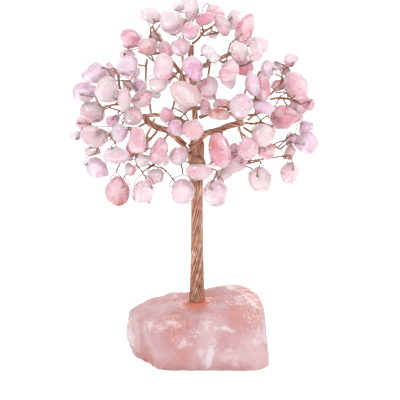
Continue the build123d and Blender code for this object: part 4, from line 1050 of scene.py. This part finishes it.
def chip_skin(wire):
    """A wire's chip: along each direction from its drilled hole, out to where its egg (or, where it tapers,
    the hull of its three balls), its flats and some soft random flats add up to one, each raised to a power
    so that edges come out rounded, less shallow dents. The reach is found by halving. The grid runs round
    the hole, out over the skin and back through the hole."""
    stone = wire.stone
    rng = np.random.default_rng(stone.number + CHIP_SEED)
    length, width = stone.radii[:2]
    tail, head = (share * width ** 2 / length for share in END_SHARES[stone.kind])
    normals = np.linspace(0, math.pi, HULL_ANGLES)
    balls = [(tail - length, tail), (0.0, width), (length - head, head)]
    support = np.max([place * np.cos(normals) + ball for place, ball in balls], axis=0)
    hull = np.max(np.cos(normals[:, None] - normals) / support, axis=1)
    ways = unit_rows(rng.normal(size=(SOFT_FLATS, 3)) * SOFT_WAY_SHARES)
    flats = stone.flats + [(way, rng.uniform(*SOFT_FLAT_SHARES)) for way in ways]
    ways = np.array([way for way, _ in flats])
    depths = np.array([stone.reach(way) * share for way, share in flats])

    def gauge(points):
        """One on the skin and less inside: the sum of the powers, raised a little where a dent goes in."""
        rel = points - stone.centre
        lengths = np.linalg.norm(rel, axis=-1)
        angle = np.arccos(np.clip(rel @ stone.axes[0] / np.maximum(lengths, 1e-6), -1, 1))
        egg = np.linalg.norm(rel @ stone.axes.T / stone.radii, axis=-1) * EGG_SHARE
        if stone.kind in TAPERED:
            egg = np.maximum(egg, lengths * np.interp(angle, normals, hull))
        cuts = np.maximum(rel @ ways.T / depths, 0)
        value = (egg ** CHIP_EDGE_POWER + (cuts ** CHIP_EDGE_POWER).sum(-1)) ** (1 / CHIP_EDGE_POWER)
        dent = sum(waves(rel, stone.number + seed, size) * deep for size, deep, seed in DENTS)
        return value * (1 + DENT_SHARE * np.clip(DENT_START + dent, 0, DENT_MOST))

    rows, columns = CHIP_GRID
    axis = wire.axis
    mouths = [stone.exit(wire.hole, axis), stone.exit(wire.hole, -axis)]
    rims = [math.atan2(HOLE_RADIUS, mouth) for mouth in mouths]
    polar = np.linspace(rims[0], math.pi - rims[1], rows)[:, None, None]
    round_hole = round_angles(columns)[:, None]
    ring = np.cos(round_hole) * wire.up + np.sin(round_hole) * np.cross(wire.up, axis)
    away = np.cos(polar) * axis + np.sin(polar) * ring
    near, far = np.zeros((rows, columns)), np.full((rows, columns), 2 * length)
    for _ in range(HALVINGS):
        middle = (near + far) / 2
        inside = gauge(wire.hole + away * middle[..., None]) < 1
        near, far = np.where(inside, middle, near), np.where(inside, far, middle)
    skin = wire.hole + away * near[..., None]
    back = np.array([-BORE_WALL_SHARE * mouths[1], 0.0, BORE_WALL_SHARE * mouths[0]])[:, None, None]
    return sheet(np.concatenate([skin, wire.hole + (back * axis + HOLE_RADIUS * ring)]))


def add_chips(name, group, body, stands_for):
    """The chips of some wires as one piece, each in its own colours."""
    skins = [chip_skin(wire) for wire in group]
    made = add_mesh(name, gather(skins), QUARTZ, body, stands_for)
    tints = [chip_tint(wire.stone, points) for wire, (points, _) in zip(group, skins)]
    colour_points(made, "tint", np.vstack(tints))


# Wire: a circle carried along a path
WIRE_CORNERS = 6
CORE_CORNERS = 12
ARC_STEPS = 10
LOOP_ARC_STEPS = 8
OFF_PATH = (0.3, 0.2, 0.93)  # a direction in which no path starts


def path_frames(points):
    """Two directions across a path at each of its points, which turn as little as they can."""
    tangents = unit_rows(np.gradient(points, axis=0))
    sides = [unit(np.cross(tangents[0], OFF_PATH))]
    for tangent in tangents[1:]:
        sides.append(unit(sides[-1] - tangent * (sides[-1] @ tangent)))
    return np.array(sides), np.cross(tangents, sides)


def tube(points, radius, corners):
    """A round wire: at each point of the path a circle of the radius there, and a point at each end."""
    side, other = path_frames(points)
    angle = round_angles(corners)[None, :, None]
    ring = np.cos(angle) * side[:, None, :] + np.sin(angle) * other[:, None, :]
    grid = points[:, None, :] + ring * np.broadcast_to(radius, len(points))[:, None, None]
    return sheet(grid, [points[0], points[-1]])


def tube_rows(count, corners):
    """For each point of a tube, the number of the path's point that it lies round."""
    return np.concatenate([np.repeat(np.arange(count), corners), [0, count - 1]])


def resample(points, spacing):
    """The same path in even steps, and how far along it each is."""
    at = np.concatenate([[0], np.cumsum(np.linalg.norm(np.diff(points, axis=0), axis=1))])
    want = np.linspace(0, at[-1], max(4, math.ceil(at[-1] / spacing) + 1))
    return np.stack([np.interp(want, at, points[:, k]) for k in range(3)], 1), want


def eased(points, times):
    """A path with its kinks eased: each inner point drawn to the middle of its neighbours, some times."""
    points = points.copy()
    for _ in range(times):
        points[1:-1] = points[1:-1] / 2 + (points[:-2] + points[2:]) / 4
    return points


def bent_path(points, limit=BUNDLE_BEND, steps=ARC_STEPS):
    """A path whose corners are bent to arcs, as wide as the limit where there is room."""
    return rounded(points, bend_radii(points, [limit] * (len(points) - 2)), steps)


# Ropes: strand radius, length of one turn, step along the path, how far the path strays, and seed
ROPES = {
    "twig": (WIRE_RADIUS, 9.0, 0.5, 0.4, 0),
    "limb": (0.3, 18.0, 0.6, 0.3, 20),
    "leader": (0.32, 30.0, 0.7, 0.0, 30),
    "trunk": (0.27, 60.0, 0.8, 0.0, 40),
}
STRAY_LENGTH = 11.0
STRAY_OTHER_SHARE = 0.7
RING_SHARE = 1.06  # strand radii from the skin of a rope in to the middle of its strands
STRAND_PITCH_SHARE = 2.02  # strand radii from one strand to the next
CORE_SHARE = 0.3
# Each strand's own play: sideways as a share of the room for one, and inwards as shares of the rope's radius
SWAY_SHARE, SWAY_TURNS = 0.35, 11
INSET_SHARE, DIP_SHARE, DIP_TURNS = 0.02, 0.015, 13
PHASE_MOST = 6
STRAND_TONES = (0.62, 1.0)


def rope(kind, path, radius, number=0):
    """A bundle: strands side by side wind round a path at the bundle's radius, one turn in each lay length,
    each a little in or out of true as hand-twisted wire is, over a plain core. The path itself strays by a
    slow wave that fades to its ends. Also says how bright each point is, with painted shade in the grooves:
    from 0 in the grooves to 1 outside, times a tone of each strand's own."""
    strand, lay, step, stray, seed = ROPES[kind]
    rng = np.random.default_rng(seed + number)
    points, at = resample(path, step)
    side, other = path_frames(points)
    swell = (stray * np.sin(math.pi * at / at[-1]))[:, None]
    turns = at[:, None] / STRAY_LENGTH * 2 * math.pi + rng.uniform(0, PHASE_MOST, 2)
    points = points + swell * np.sin(turns[:, :1]) * side
    points = points + swell * np.sin(turns[:, 1:] * STRAY_OTHER_SHARE) * other
    ring = (radius(points) if callable(radius) else np.full(len(points), radius)) - strand * RING_SHARE
    count = int(2 * math.pi * ring.max() / (strand * STRAND_PITCH_SHARE))
    skins = []
    for k in range(count):
        sway = SWAY_SHARE / count * np.sin(at / lay * SWAY_TURNS + rng.uniform(0, PHASE_MOST))
        angle = 2 * math.pi * (k / count + at / lay + sway)
        inset = INSET_SHARE * rng.uniform()
        dip = DIP_SHARE * (1 + np.sin(at / lay * DIP_TURNS + rng.uniform(0, PHASE_MOST)))
        away = ring * (1 - inset - dip)
        line = points + (np.cos(angle) * away)[:, None] * side + (np.sin(angle) * away)[:, None] * other
        skins.append(tube(line, strand, WIRE_CORNERS))
    skins.append(tube(points, np.maximum(ring - strand * CORE_SHARE, strand), CORE_CORNERS))
    skin, faces = gather(skins)
    strand_rows, core_rows = tube_rows(len(points), WIRE_CORNERS), tube_rows(len(points), CORE_CORNERS)
    rows = np.concatenate([np.tile(strand_rows, count), core_rows])
    out = np.linalg.norm(skin - points[rows], axis=1) - ring[rows]
    tone = np.repeat(rng.uniform(*STRAND_TONES, count), len(strand_rows))
    tone = np.concatenate([tone, np.ones(len(core_rows))])
    return skin, faces, np.clip(0.5 + out / strand / 2, 0, 1) * tone


def lone_wire(line, shade):
    """One wire along a line, as bright all over as the shade says."""
    points, faces = tube(line, WIRE_RADIUS, WIRE_CORNERS)
    return points, faces, np.full(len(points), shade)


def add_copper(name, strands, body=None, stands_for=None):
    """Wires and bundles as one piece, with how bright each point is, which paints shade into the grooves of a
    bundle and darkens the lone wires.
    """
    made = add_mesh(name, gather([strand[:2] for strand in strands]), COPPER, body, stands_for)
    colour_points(made, "shade", np.concatenate([strand[2] for strand in strands]))
    return made


# Painted shade: the folded lone wires are darkened all over; the root wires stay as bright as a bundle's
# outer strands
LONE_SHADE, ROOT_SHADE = 0.46, 0.82
TWIST_PITCH = 3.2
WIRE_STEP = 0.3
WIRE_EASES = 2


def wire_strand(wire):
    """A wire folded double: each leg winds round the stem's middle line, half a turn apart, up to the neck,
    and between them it runs as one loop through the stone's hole."""
    middle = (wire.points[:3] + wire.points[:6:-1]) / 2
    start = middle[0] - unit(middle[1] - middle[0]) * TWIG_RADIUS
    stem, at = resample(bent_path(np.vstack([start, middle[1:]])), WIRE_STEP)
    tangents = unit_rows(np.gradient(stem, axis=0))
    angle = (2 * math.pi * (at[-1] - at) / TWIST_PITCH)[:, None]
    spoke = WIRE_HALF_PITCH * (np.cos(angle) * wire.axis + np.sin(angle) * np.cross(tangents, wire.axis))
    loop, _ = resample(rounded(wire.points[2:8], wire.radii[2:6], LOOP_ARC_STEPS), WIRE_STEP)
    line = np.vstack([stem - spoke, loop[1:-1], (stem + spoke)[::-1]])
    return lone_wire(eased(line, WIRE_EASES), LONE_SHADE)


body_of = {limb: f"{limb}_branch" if limb in MOVING else "tree" for limb in TWIG_SHARES}
for limb, body in body_of.items():
    mine = [wire for wire in wires if wire.stone.limb == limb]
    add_copper(f"twisted_wires_{limb}", [wire_strand(wire) for wire in mine], body, f"wires_{limb}")
    fixed = [wire for wire in mine if not wire.stone.hanging]
    add_chips(f"quartz_chips_{limb}", fixed, body, f"stones_{limb}")
    for wire in mine:
        drop = wire.stone.hanging
        if drop:
            add_chips(f"quartz_drop_{drop}", [wire], f"hanging_{drop}", f"stone_{drop}")
for limb, paths in twig_path.items():
    twigs = [rope("twig", bent_path(path), TWIG_RADIUS, k) for k, path in enumerate(paths)]
    add_copper(f"twig_bundles_{limb}", twigs, body_of[limb], f"twigs_{limb}")
for limb, path in limb_path.items():
    bundle = rope("limb", bent_path(path), limb_radius[limb])
    add_copper(f"limb_bundle_{limb}", [bundle], body_of[limb], f"limb_{limb}")
add_copper("leader_bundle", [rope("leader", bent_path(leader_path), LEADER_RADIUS)], "tree", "leader")

# Root wires of a moving branch: how many and how far round the trunk, where below the joint they leave its
# skin, and where along the branch they join it
ROOT_WIRES, ROOT_SPREAD = 9, 75
ROOT_START, ROOT_LEAVE, ROOT_RISE = 20.0, 9.0, 2.5
ROOT_MEET, ROOT_END = 2.5, 10.0
ROOT_SUNK_SHARE, ROOT_INNER_SHARE, ROOT_OUT_SHARE = 0.93, 0.6, 0.45
ROOT_BEND, ROOT_STEP, ROOT_EASES = 4.0, 0.4, 4


def root_strand(limb, angle):
    """One wire of a moving branch: up the trunk's skin, out over the joint and on along the branch."""
    pivot, path = limb_pivot[limb], limb_path[limb]
    way = unit(path[1] - path[0])
    out = unit(pivot * [1, 1, 0])
    side = np.cross(UP, out)
    around = (out * math.cos(angle) + side * math.sin(angle)) * (TRUNK_RADIUS - WIRE_RADIUS)
    across = unit(side - way * (side @ way))
    lift = np.cross(way, across)
    spoke = across * math.sin(angle) - lift * math.cos(angle) * np.sign(lift @ UP)
    spoke = (limb_radius[limb] - WIRE_RADIUS) * spoke
    points = np.array([
        around * ROOT_SUNK_SHARE + UP * (pivot[2] - ROOT_START),
        around + UP * (pivot[2] - ROOT_LEAVE),
        around * ROOT_INNER_SHARE + pivot * [ROOT_OUT_SHARE, ROOT_OUT_SHARE, 1] - UP * ROOT_RISE,
        path[0] + way * ROOT_MEET + spoke,
        path[0] + way * ROOT_END + spoke,
    ])
    line, _ = resample(bent_path(points, ROOT_BEND, LOOP_ARC_STEPS), ROOT_STEP)
    return lone_wire(eased(line, ROOT_EASES), ROOT_SHADE)


for limb in MOVING:
    angles = np.radians(np.linspace(-ROOT_SPREAD, ROOT_SPREAD, ROOT_WIRES))
    root = add_copper(f"root_wires_{limb}", [root_strand(limb, angle) for angle in angles])
    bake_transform(root)


def trunk_radius(points):
    """The trunk's outer radius by height: a slight waist, then a cone into the leader."""
    knots = [SOCKET_FOOT, SOCKET_TOP + GLUE_BEAD, TRUNK_WAIST, TRUNK_SHOULDER]
    waist = np.interp(points[:, 2], knots, [0, 0, 1, 0])
    radius = TRUNK_RADIUS - (TRUNK_RADIUS - TRUNK_WAIST_RADIUS) * np.sin(waist * math.pi / 2)
    cone = np.clip((points[:, 2] - TRUNK_SHOULDER) / (TRUNK_TOP - TRUNK_SHOULDER), 0, 1)
    return radius + (LEADER_RADIUS - TRUNK_RADIUS) * cone


# Painted shade: the trunk's colour is darkened most halfway up, where light reaches it from all round
TRUNK_MIDDLE_SHADE = 0.18
trunk_line = np.array([[0, 0, SOCKET_FOOT + SOCKET_FLOOR], [0, 0, TRUNK_TOP]])
skin, faces, shade = rope("trunk", trunk_line, trunk_radius)
middle_shade_angle = np.interp(skin[:, 2], [SOCKET_TOP, TRUNK_SHOULDER], [0, math.pi])
trunk = skin, faces, shade * (1 - TRUNK_MIDDLE_SHADE * np.sin(middle_shade_angle) ** 2)
add_copper("trunk_bundle", [trunk], "tree", "trunk")

# The break of the base: rows and columns of the grid, the height of the middle that it is drawn from, how
# crisp its edges are, its steps as seed, size and weight, how deep they go, and the size of calmer patches
BASE_GRID = (190, 340)
BASE_MIDDLE_SHARE = 0.42
BASE_EDGE_POWER = 26
BREAK_STEPS = ((3, 16, 1.0), (4, 7, 0.6), (5, 3.2, 0.35))
BREAK_DEPTH, BREAK_MOST = 1.1, 1.6
CALM_SEED, CALM_SIZE, CALM_SHARE = 6, 30, 0.4


def break_face():
    """The base: along each direction from its middle, out to where its flats, each raised to a power, add up
    to one, less small steps and ripples of the break. The foot stays flat."""
    middle = np.array([0.0, 0.0, BASE_HEIGHT * BASE_MIDDLE_SHARE])
    places = np.array([place for place, _ in BASE_SHARES]) * [BASE_WIDTH / 2, BASE_DEPTH / 2, BASE_HEIGHT]
    ways = np.array([unit(way) for _, way in BASE_SHARES])
    depths = ((places - middle) * ways).sum(1)
    rows, columns = BASE_GRID
    polar = ((np.arange(rows) + 0.5) * math.pi / rows)[:, None]
    around = round_angles(columns)
    away = np.stack([np.sin(polar) * np.cos(around), -np.sin(polar) * np.sin(around),
                     np.cos(polar) * np.ones(columns)], -1)
    away = np.concatenate([away.reshape(-1, 3), [UP, -UP]])
    cuts = np.maximum(away @ ways.T / depths, 0)
    plain = 1 / (cuts[:, 1:] ** BASE_EDGE_POWER).sum(1) ** (1 / BASE_EDGE_POWER)
    skin = away * plain[:, None]
    step = sum(weight * np.abs(waves(skin, seed, size)) for seed, size, weight in BREAK_STEPS)
    rough = CALM_SHARE + (1 - CALM_SHARE) * np.clip(waves(skin, CALM_SEED, CALM_SIZE) + 0.5, 0, 1)
    dip = BREAK_DEPTH * np.clip(step, 0, BREAK_MOST) * rough
    reach = np.minimum(plain - dip, 1 / np.maximum(cuts[:, 0], 1e-6))
    skin = middle + away * reach[:, None]
    return sheet(skin[:-2].reshape(rows, columns, 3), [skin[-2], skin[-1]])


# Where the base is cracked: lines from one place to another, across as shares of half the width and up as
# shares of the height, both as seen from the front, and how wide and strong each is
CRACK_SHARES = [
    ((-0.68, 0.46), (-0.25, 0.5), 2.6, 1.0), ((-0.03, 0.36), (0.3, 0.67), 3.0, 0.9),
    ((0.22, 0.28), (0.11, 0.0), 1.6, 1.4), ((0.27, 0.46), (0.52, 0.42), 0.9, 1.2),
    ((0.7, 0.85), (0.88, 0.3), 5.0, 1.1), ((-0.3, 0.3), (-0.1, 0.22), 2.2, 0.8),
    ((0.3, 0.12), (0.6, 0.05), 2.5, 0.8), ((-0.55, 0.72), (-0.35, 0.75), 1.6, 0.9),
]
# White facets of the break as corners, taken clockwise, and how white each is
FACET_SHARES = [
    ([(-1.06, 0.58), (-0.93, 0.54), (-0.86, 0.3), (-0.86, 0.14), (-1.06, 0.1)], 0.85),
    ([(0.19, 0.23), (0.24, 0.15), (0.18, -0.05), (0.15, -0.1), (0.1, 0.01)], 0.95),
    ([(-0.01, 0.14), (0.09, 0.19), (0.13, 0.14), (0.04, 0.06)], 0.5),
    ([(-0.16, 0.32), (-0.13, 0.23), (-0.22, 0.18), (-0.27, 0.2)], 0.55),
    ([(-0.67, 0.51), (-0.6, 0.55), (-0.61, 0.47), (-0.65, 0.43)], 0.7),
    ([(-0.44, 0.53), (-0.29, 0.55), (-0.25, 0.51), (-0.4, 0.49)], 0.65),
    ([(-0.56, 0.82), (-0.47, 0.84), (-0.36, 0.77), (-0.47, 0.775)], 0.6),
    ([(0.29, 0.485), (0.41, 0.475), (0.53, 0.405), (0.43, 0.42)], 0.75),
    ([(0.39, 0.16), (0.5, 0.21), (0.45, 0.12)], 0.5), ([(0.48, 0.01), (0.6, -0.07), (0.5, -0.05)], 0.7),
    ([(0.76, 0.32), (0.85, 0.28), (0.83, 0.23), (0.77, 0.25)], 0.65),
    ([(0.04, 0.53), (0.14, 0.56), (0.18, 0.4), (0.09, 0.44)], 0.4),
    ([(-1.06, 0.78), (-0.87, 0.74), (-0.79, 0.4), (-0.79, 0.1), (-1.06, 0.06)], 0.35),
]
BASE_FACE = np.array([BASE_WIDTH / 2, BASE_HEIGHT])
FACET_EDGE = 0.5
# How far the marks stray and reach round the sides, in millimetres, and how strong a crack is past that
STRAY, STRAY_SIZE, STRAY_SEEDS = 0.35, 4, (7, 8)
SIDE_REACH, SIDE_FADE = 13.0, 2
SIDE_STRAY, SIDE_STRAY_SIZE, SIDE_SEED = 4, 9, 9
SIDE_CRACK_SHARE = 0.4
# The glow of the copper at the foot of the trunk: its reach across and up, its depth, and its strength
GLOW_REACH = (5.5, 4.0)
GLOW_DEPTH, GLOW_DEPTH_FADE = 6, 5
GLOW_STRENGTH = 0.9


def cracked(seen):
    """How strongly each seen place is cracked: by the lines of the table, fading with distance from them."""
    total = np.zeros(len(seen))
    for start, end, wide, strong in CRACK_SHARES:
        start, end = np.array(start) * BASE_FACE, np.array(end) * BASE_FACE
        along = np.clip((seen - start) @ (end - start) / ((end - start) ** 2).sum(), 0, 1)
        away = np.linalg.norm(seen - start - along[:, None] * (end - start), axis=1)
        total += strong * np.exp(-(away / wide) ** 2)
    return total


def faceted(seen):
    """How white each seen place is: inside a facet of the table, by the least distance within its edges."""
    total = np.zeros(len(seen))
    for corners, strong in FACET_SHARES:
        start = np.array(corners) * BASE_FACE
        edge = np.roll(start, -1, axis=0) - start
        inward = unit_rows(np.stack([edge[:, 1], -edge[:, 0]], 1))
        within = ((seen[:, None] - start) * inward).sum(-1).min(1)
        total = np.maximum(total, strong * np.clip(0.5 + within / FACET_EDGE, 0, 1))
    return total


def base_marks(points):
    """Cracks, white facets and copper glow at each point of the base, as it is seen from the front and, the
    other way round, from behind. They end raggedly on the way round the sides."""
    facing = np.where(points[:, 1] > 0, -1, 1)
    seen = np.stack([points[:, 0] * facing, points[:, 2] + points[:, 1] * facing * VIEW_SLOPE_SHARE], 1)
    seen += np.stack([waves(points, seed, STRAY_SIZE) for seed in STRAY_SEEDS], 1) * STRAY
    inward = BASE_DEPTH / 2 - np.abs(points[:, 1]) + SIDE_STRAY * waves(points, SIDE_SEED, SIDE_STRAY_SIZE)
    fade = np.clip(1 - (inward - SIDE_REACH) / SIDE_FADE, 0, 1)
    foot = np.array([0, SOCKET_TOP - TRUNK_RADIUS * VIEW_SLOPE_SHARE])
    deep = np.maximum(np.abs(points[:, 1]) - GLOW_DEPTH, 0) / GLOW_DEPTH_FADE
    glow = np.exp(-(((seen - foot) / GLOW_REACH) ** 2).sum(1) - deep ** 2)
    cracks = cracked(seen) * (SIDE_CRACK_SHARE + (1 - SIDE_CRACK_SHARE) * fade)
    return np.clip(np.stack([cracks, faceted(seen) * fade, GLOW_STRENGTH * glow], 1), 0, 1)


base_skin = break_face()
base = add_mesh("rough_quartz_base", base_skin, ROUGH, "tree", "base_stone")
colour_points(base, "marks", base_marks(base_skin[0]))

# The glue's film: rings and columns of its grid, its inner edge on the trunk, how far it runs out past the
# socket and strays, its rise at the trunk, its lift off the stone, its lip, and the plug's top below the rim
FILM_GRID = (9, 72)
FILM_INNER_SHARE = 0.9
FILM_RUN, FILM_RISE, FILM_LIFT, FILM_LIP = 1.9, 0.5, 0.12, 0.6
FILM_STRAY, FILM_STRAY_SIZE, FILM_STRAY_REACH, FILM_SEED = 0.9, 5, 3, 12
FILM_EASES = 3
PLUG_DROP = 4


def glue_film(stone_points):
    """The glue: a plug in the socket whose top wets the stone, by angle and distance from the trunk: the
    stone's skin there plus a bead that falls with the square of the way left to a wavy edge. Also says how
    deep it is, from 1 at the trunk to 0 at the edge."""
    rings, columns = FILM_GRID
    around = round_angles(columns)
    way = np.stack([np.cos(around), np.sin(around), np.zeros(columns)], 1)
    edge = SOCKET_RADIUS + FILM_RUN + FILM_STRAY * waves(way * FILM_STRAY_REACH, FILM_SEED, FILM_STRAY_SIZE)
    outward = np.linspace(1, 0, rings)[:, None]
    inner = TRUNK_RADIUS * FILM_INNER_SHARE
    plan = way[None, :, :2] * (inner + outward * (edge - inner))[..., None]
    top = stone_points[stone_points[:, 2] > BASE_HEIGHT / 2]
    near = np.linalg.norm(plan.reshape(-1, 1, 2) - top[None, :, :2], axis=-1).argmin(1)
    skin = top[near, 2].reshape(rings, columns)
    for _ in range(FILM_EASES):
        skin = (np.roll(skin, 1, 1) + skin + np.roll(skin, -1, 1)) / 3
    bead = (GLUE_BEAD + FILM_RISE) * (1 - outward) ** 2
    film = np.dstack([plan, skin + bead + FILM_LIFT - FILM_LIP * (outward == 1)])
    wall = np.array([SOCKET_FOOT, SOCKET_TOP - PLUG_DROP])[:, None, None] * UP + way * SOCKET_RADIUS
    depth = np.concatenate([np.ones(2 * columns), np.repeat(1 - outward, columns), [1.0, 1.0]])
    return sheet(np.concatenate([wall, film]), [SOCKET_FOOT * UP, film[-1].mean(0)]), depth


film_skin, film_depth = glue_film(base_skin[0])
film = add_mesh("glue_film", film_skin, GLUE, "tree", "socket_glue")
colour_points(film, "depth", film_depth)

# Stage: white floor and surround, soft lamps, and the camera of the photograph
FLOOR_LIFT = 0.5
FLOOR_REACH = 4000.0
# Lamps and camera are in metres. Each lamp has its place, its size and its power
LAMP_AIM = Vector((0, 0, 0.09))
LAMPS = {
    "key": ((-0.4, -0.6, 0.75), 0.14, 1.7),
    "fill": ((0.7, -0.5, 0.4), 0.14, 0.9),
    "front": ((0.2, -0.9, 0.05), 0.7, 0.5),
    "back": ((0.25, 0.85, 0.35), 0.5, 2.2),
    "top": ((0.1, 0.3, 0.9), 0.6, 0.6),
}
CAMERA_AIM = Vector((0.0013, 0, 0.0716))
CAMERA_FIELD, CAMERA_DISTANCE, CAMERA_ELEVATION = 0.174, 0.9, math.radians(12)
CAMERA_SENSOR = 36.0


def looked_at(tree):
    """One for rays from the camera, a gloss or a clear body, which see the white surround; else nought."""
    path = node(tree, "LightPath")
    gloss = node(tree, "Math", [(0, path, "Is Camera Ray"), (1, path, "Is Glossy Ray")], operation="MAXIMUM")
    return node(tree, "Math", [(0, gloss, "Value"), (1, path, "Is Transmission Ray")], operation="MAXIMUM")


def floor_paper():
    """White paper: faintly uneven, and lifted to white where it is looked at."""
    material, tree, place = new_material("floor_white_paper")
    paper = node(tree, "TexNoise", [("Vector", place, "Object")], {"Scale": scale_of(25)})
    shade = node(tree, "ValToRGB", [("Fac", paper, "Fac")], stops=[(0.3, 0.9), (0.7, 0.93)])
    lift = node(tree, "Math", [(0, looked_at(tree), "Value")], {1: FLOOR_LIFT}, operation="MULTIPLY")
    return finished(material, [("Base Color", shade, "Color"), ("Emission Strength", lift, "Value")],
                    {"Emission Color": (1, 1, 1, 1), "Roughness": 0.9})


def aimed(name, data, place, aim):
    """A lamp or a camera at a place, turned towards another."""
    made = bpy.data.objects.new(name, data)
    made.location = place
    made.rotation_euler = (aim - Vector(place)).to_track_quat("-Z", "Y").to_euler()
    bpy.context.scene.collection.objects.link(made)
    return made


corners = np.array([[-1, -1, 0], [1, -1, 0], [1, 1, 0], [-1, 1, 0]]) * FLOOR_REACH
floor = add_mesh("floor", (corners, [[0, 1, 2], [0, 2, 3]]), floor_paper())

world = bpy.data.worlds.new("studio_white")
bpy.context.scene.world = world
world.use_nodes = True
tree = world.node_tree
tree.nodes.clear()
white = node(tree, "Background", (), {"Color": (1, 1, 1, 1), "Strength": 1})
soft = node(tree, "Background", (), {"Color": (1, 0.99, 0.99, 1), "Strength": 1})
both = node(tree, "MixShader", [
    ("Fac", looked_at(tree), "Value"), (1, soft, "Background"), (2, white, "Background")])
node(tree, "OutputWorld", [("Surface", both, "Shader")])

for name, (place, size, power) in LAMPS.items():
    light = bpy.data.lights.new(name, "AREA")
    light.size, light.energy = size, power
    aimed(name, light, place, LAMP_AIM)

camera = bpy.data.cameras.new("photo_camera")
camera.sensor_width = CAMERA_SENSOR
camera.lens = CAMERA_SENSOR * CAMERA_DISTANCE / CAMERA_FIELD
towards = Vector((0, -math.cos(CAMERA_ELEVATION), math.sin(CAMERA_ELEVATION)))
bpy.context.scene.camera = aimed("photo_camera", camera, CAMERA_AIM + CAMERA_DISTANCE * towards, CAMERA_AIM)
bpy.context.scene.view_settings.view_transform = "Standard"
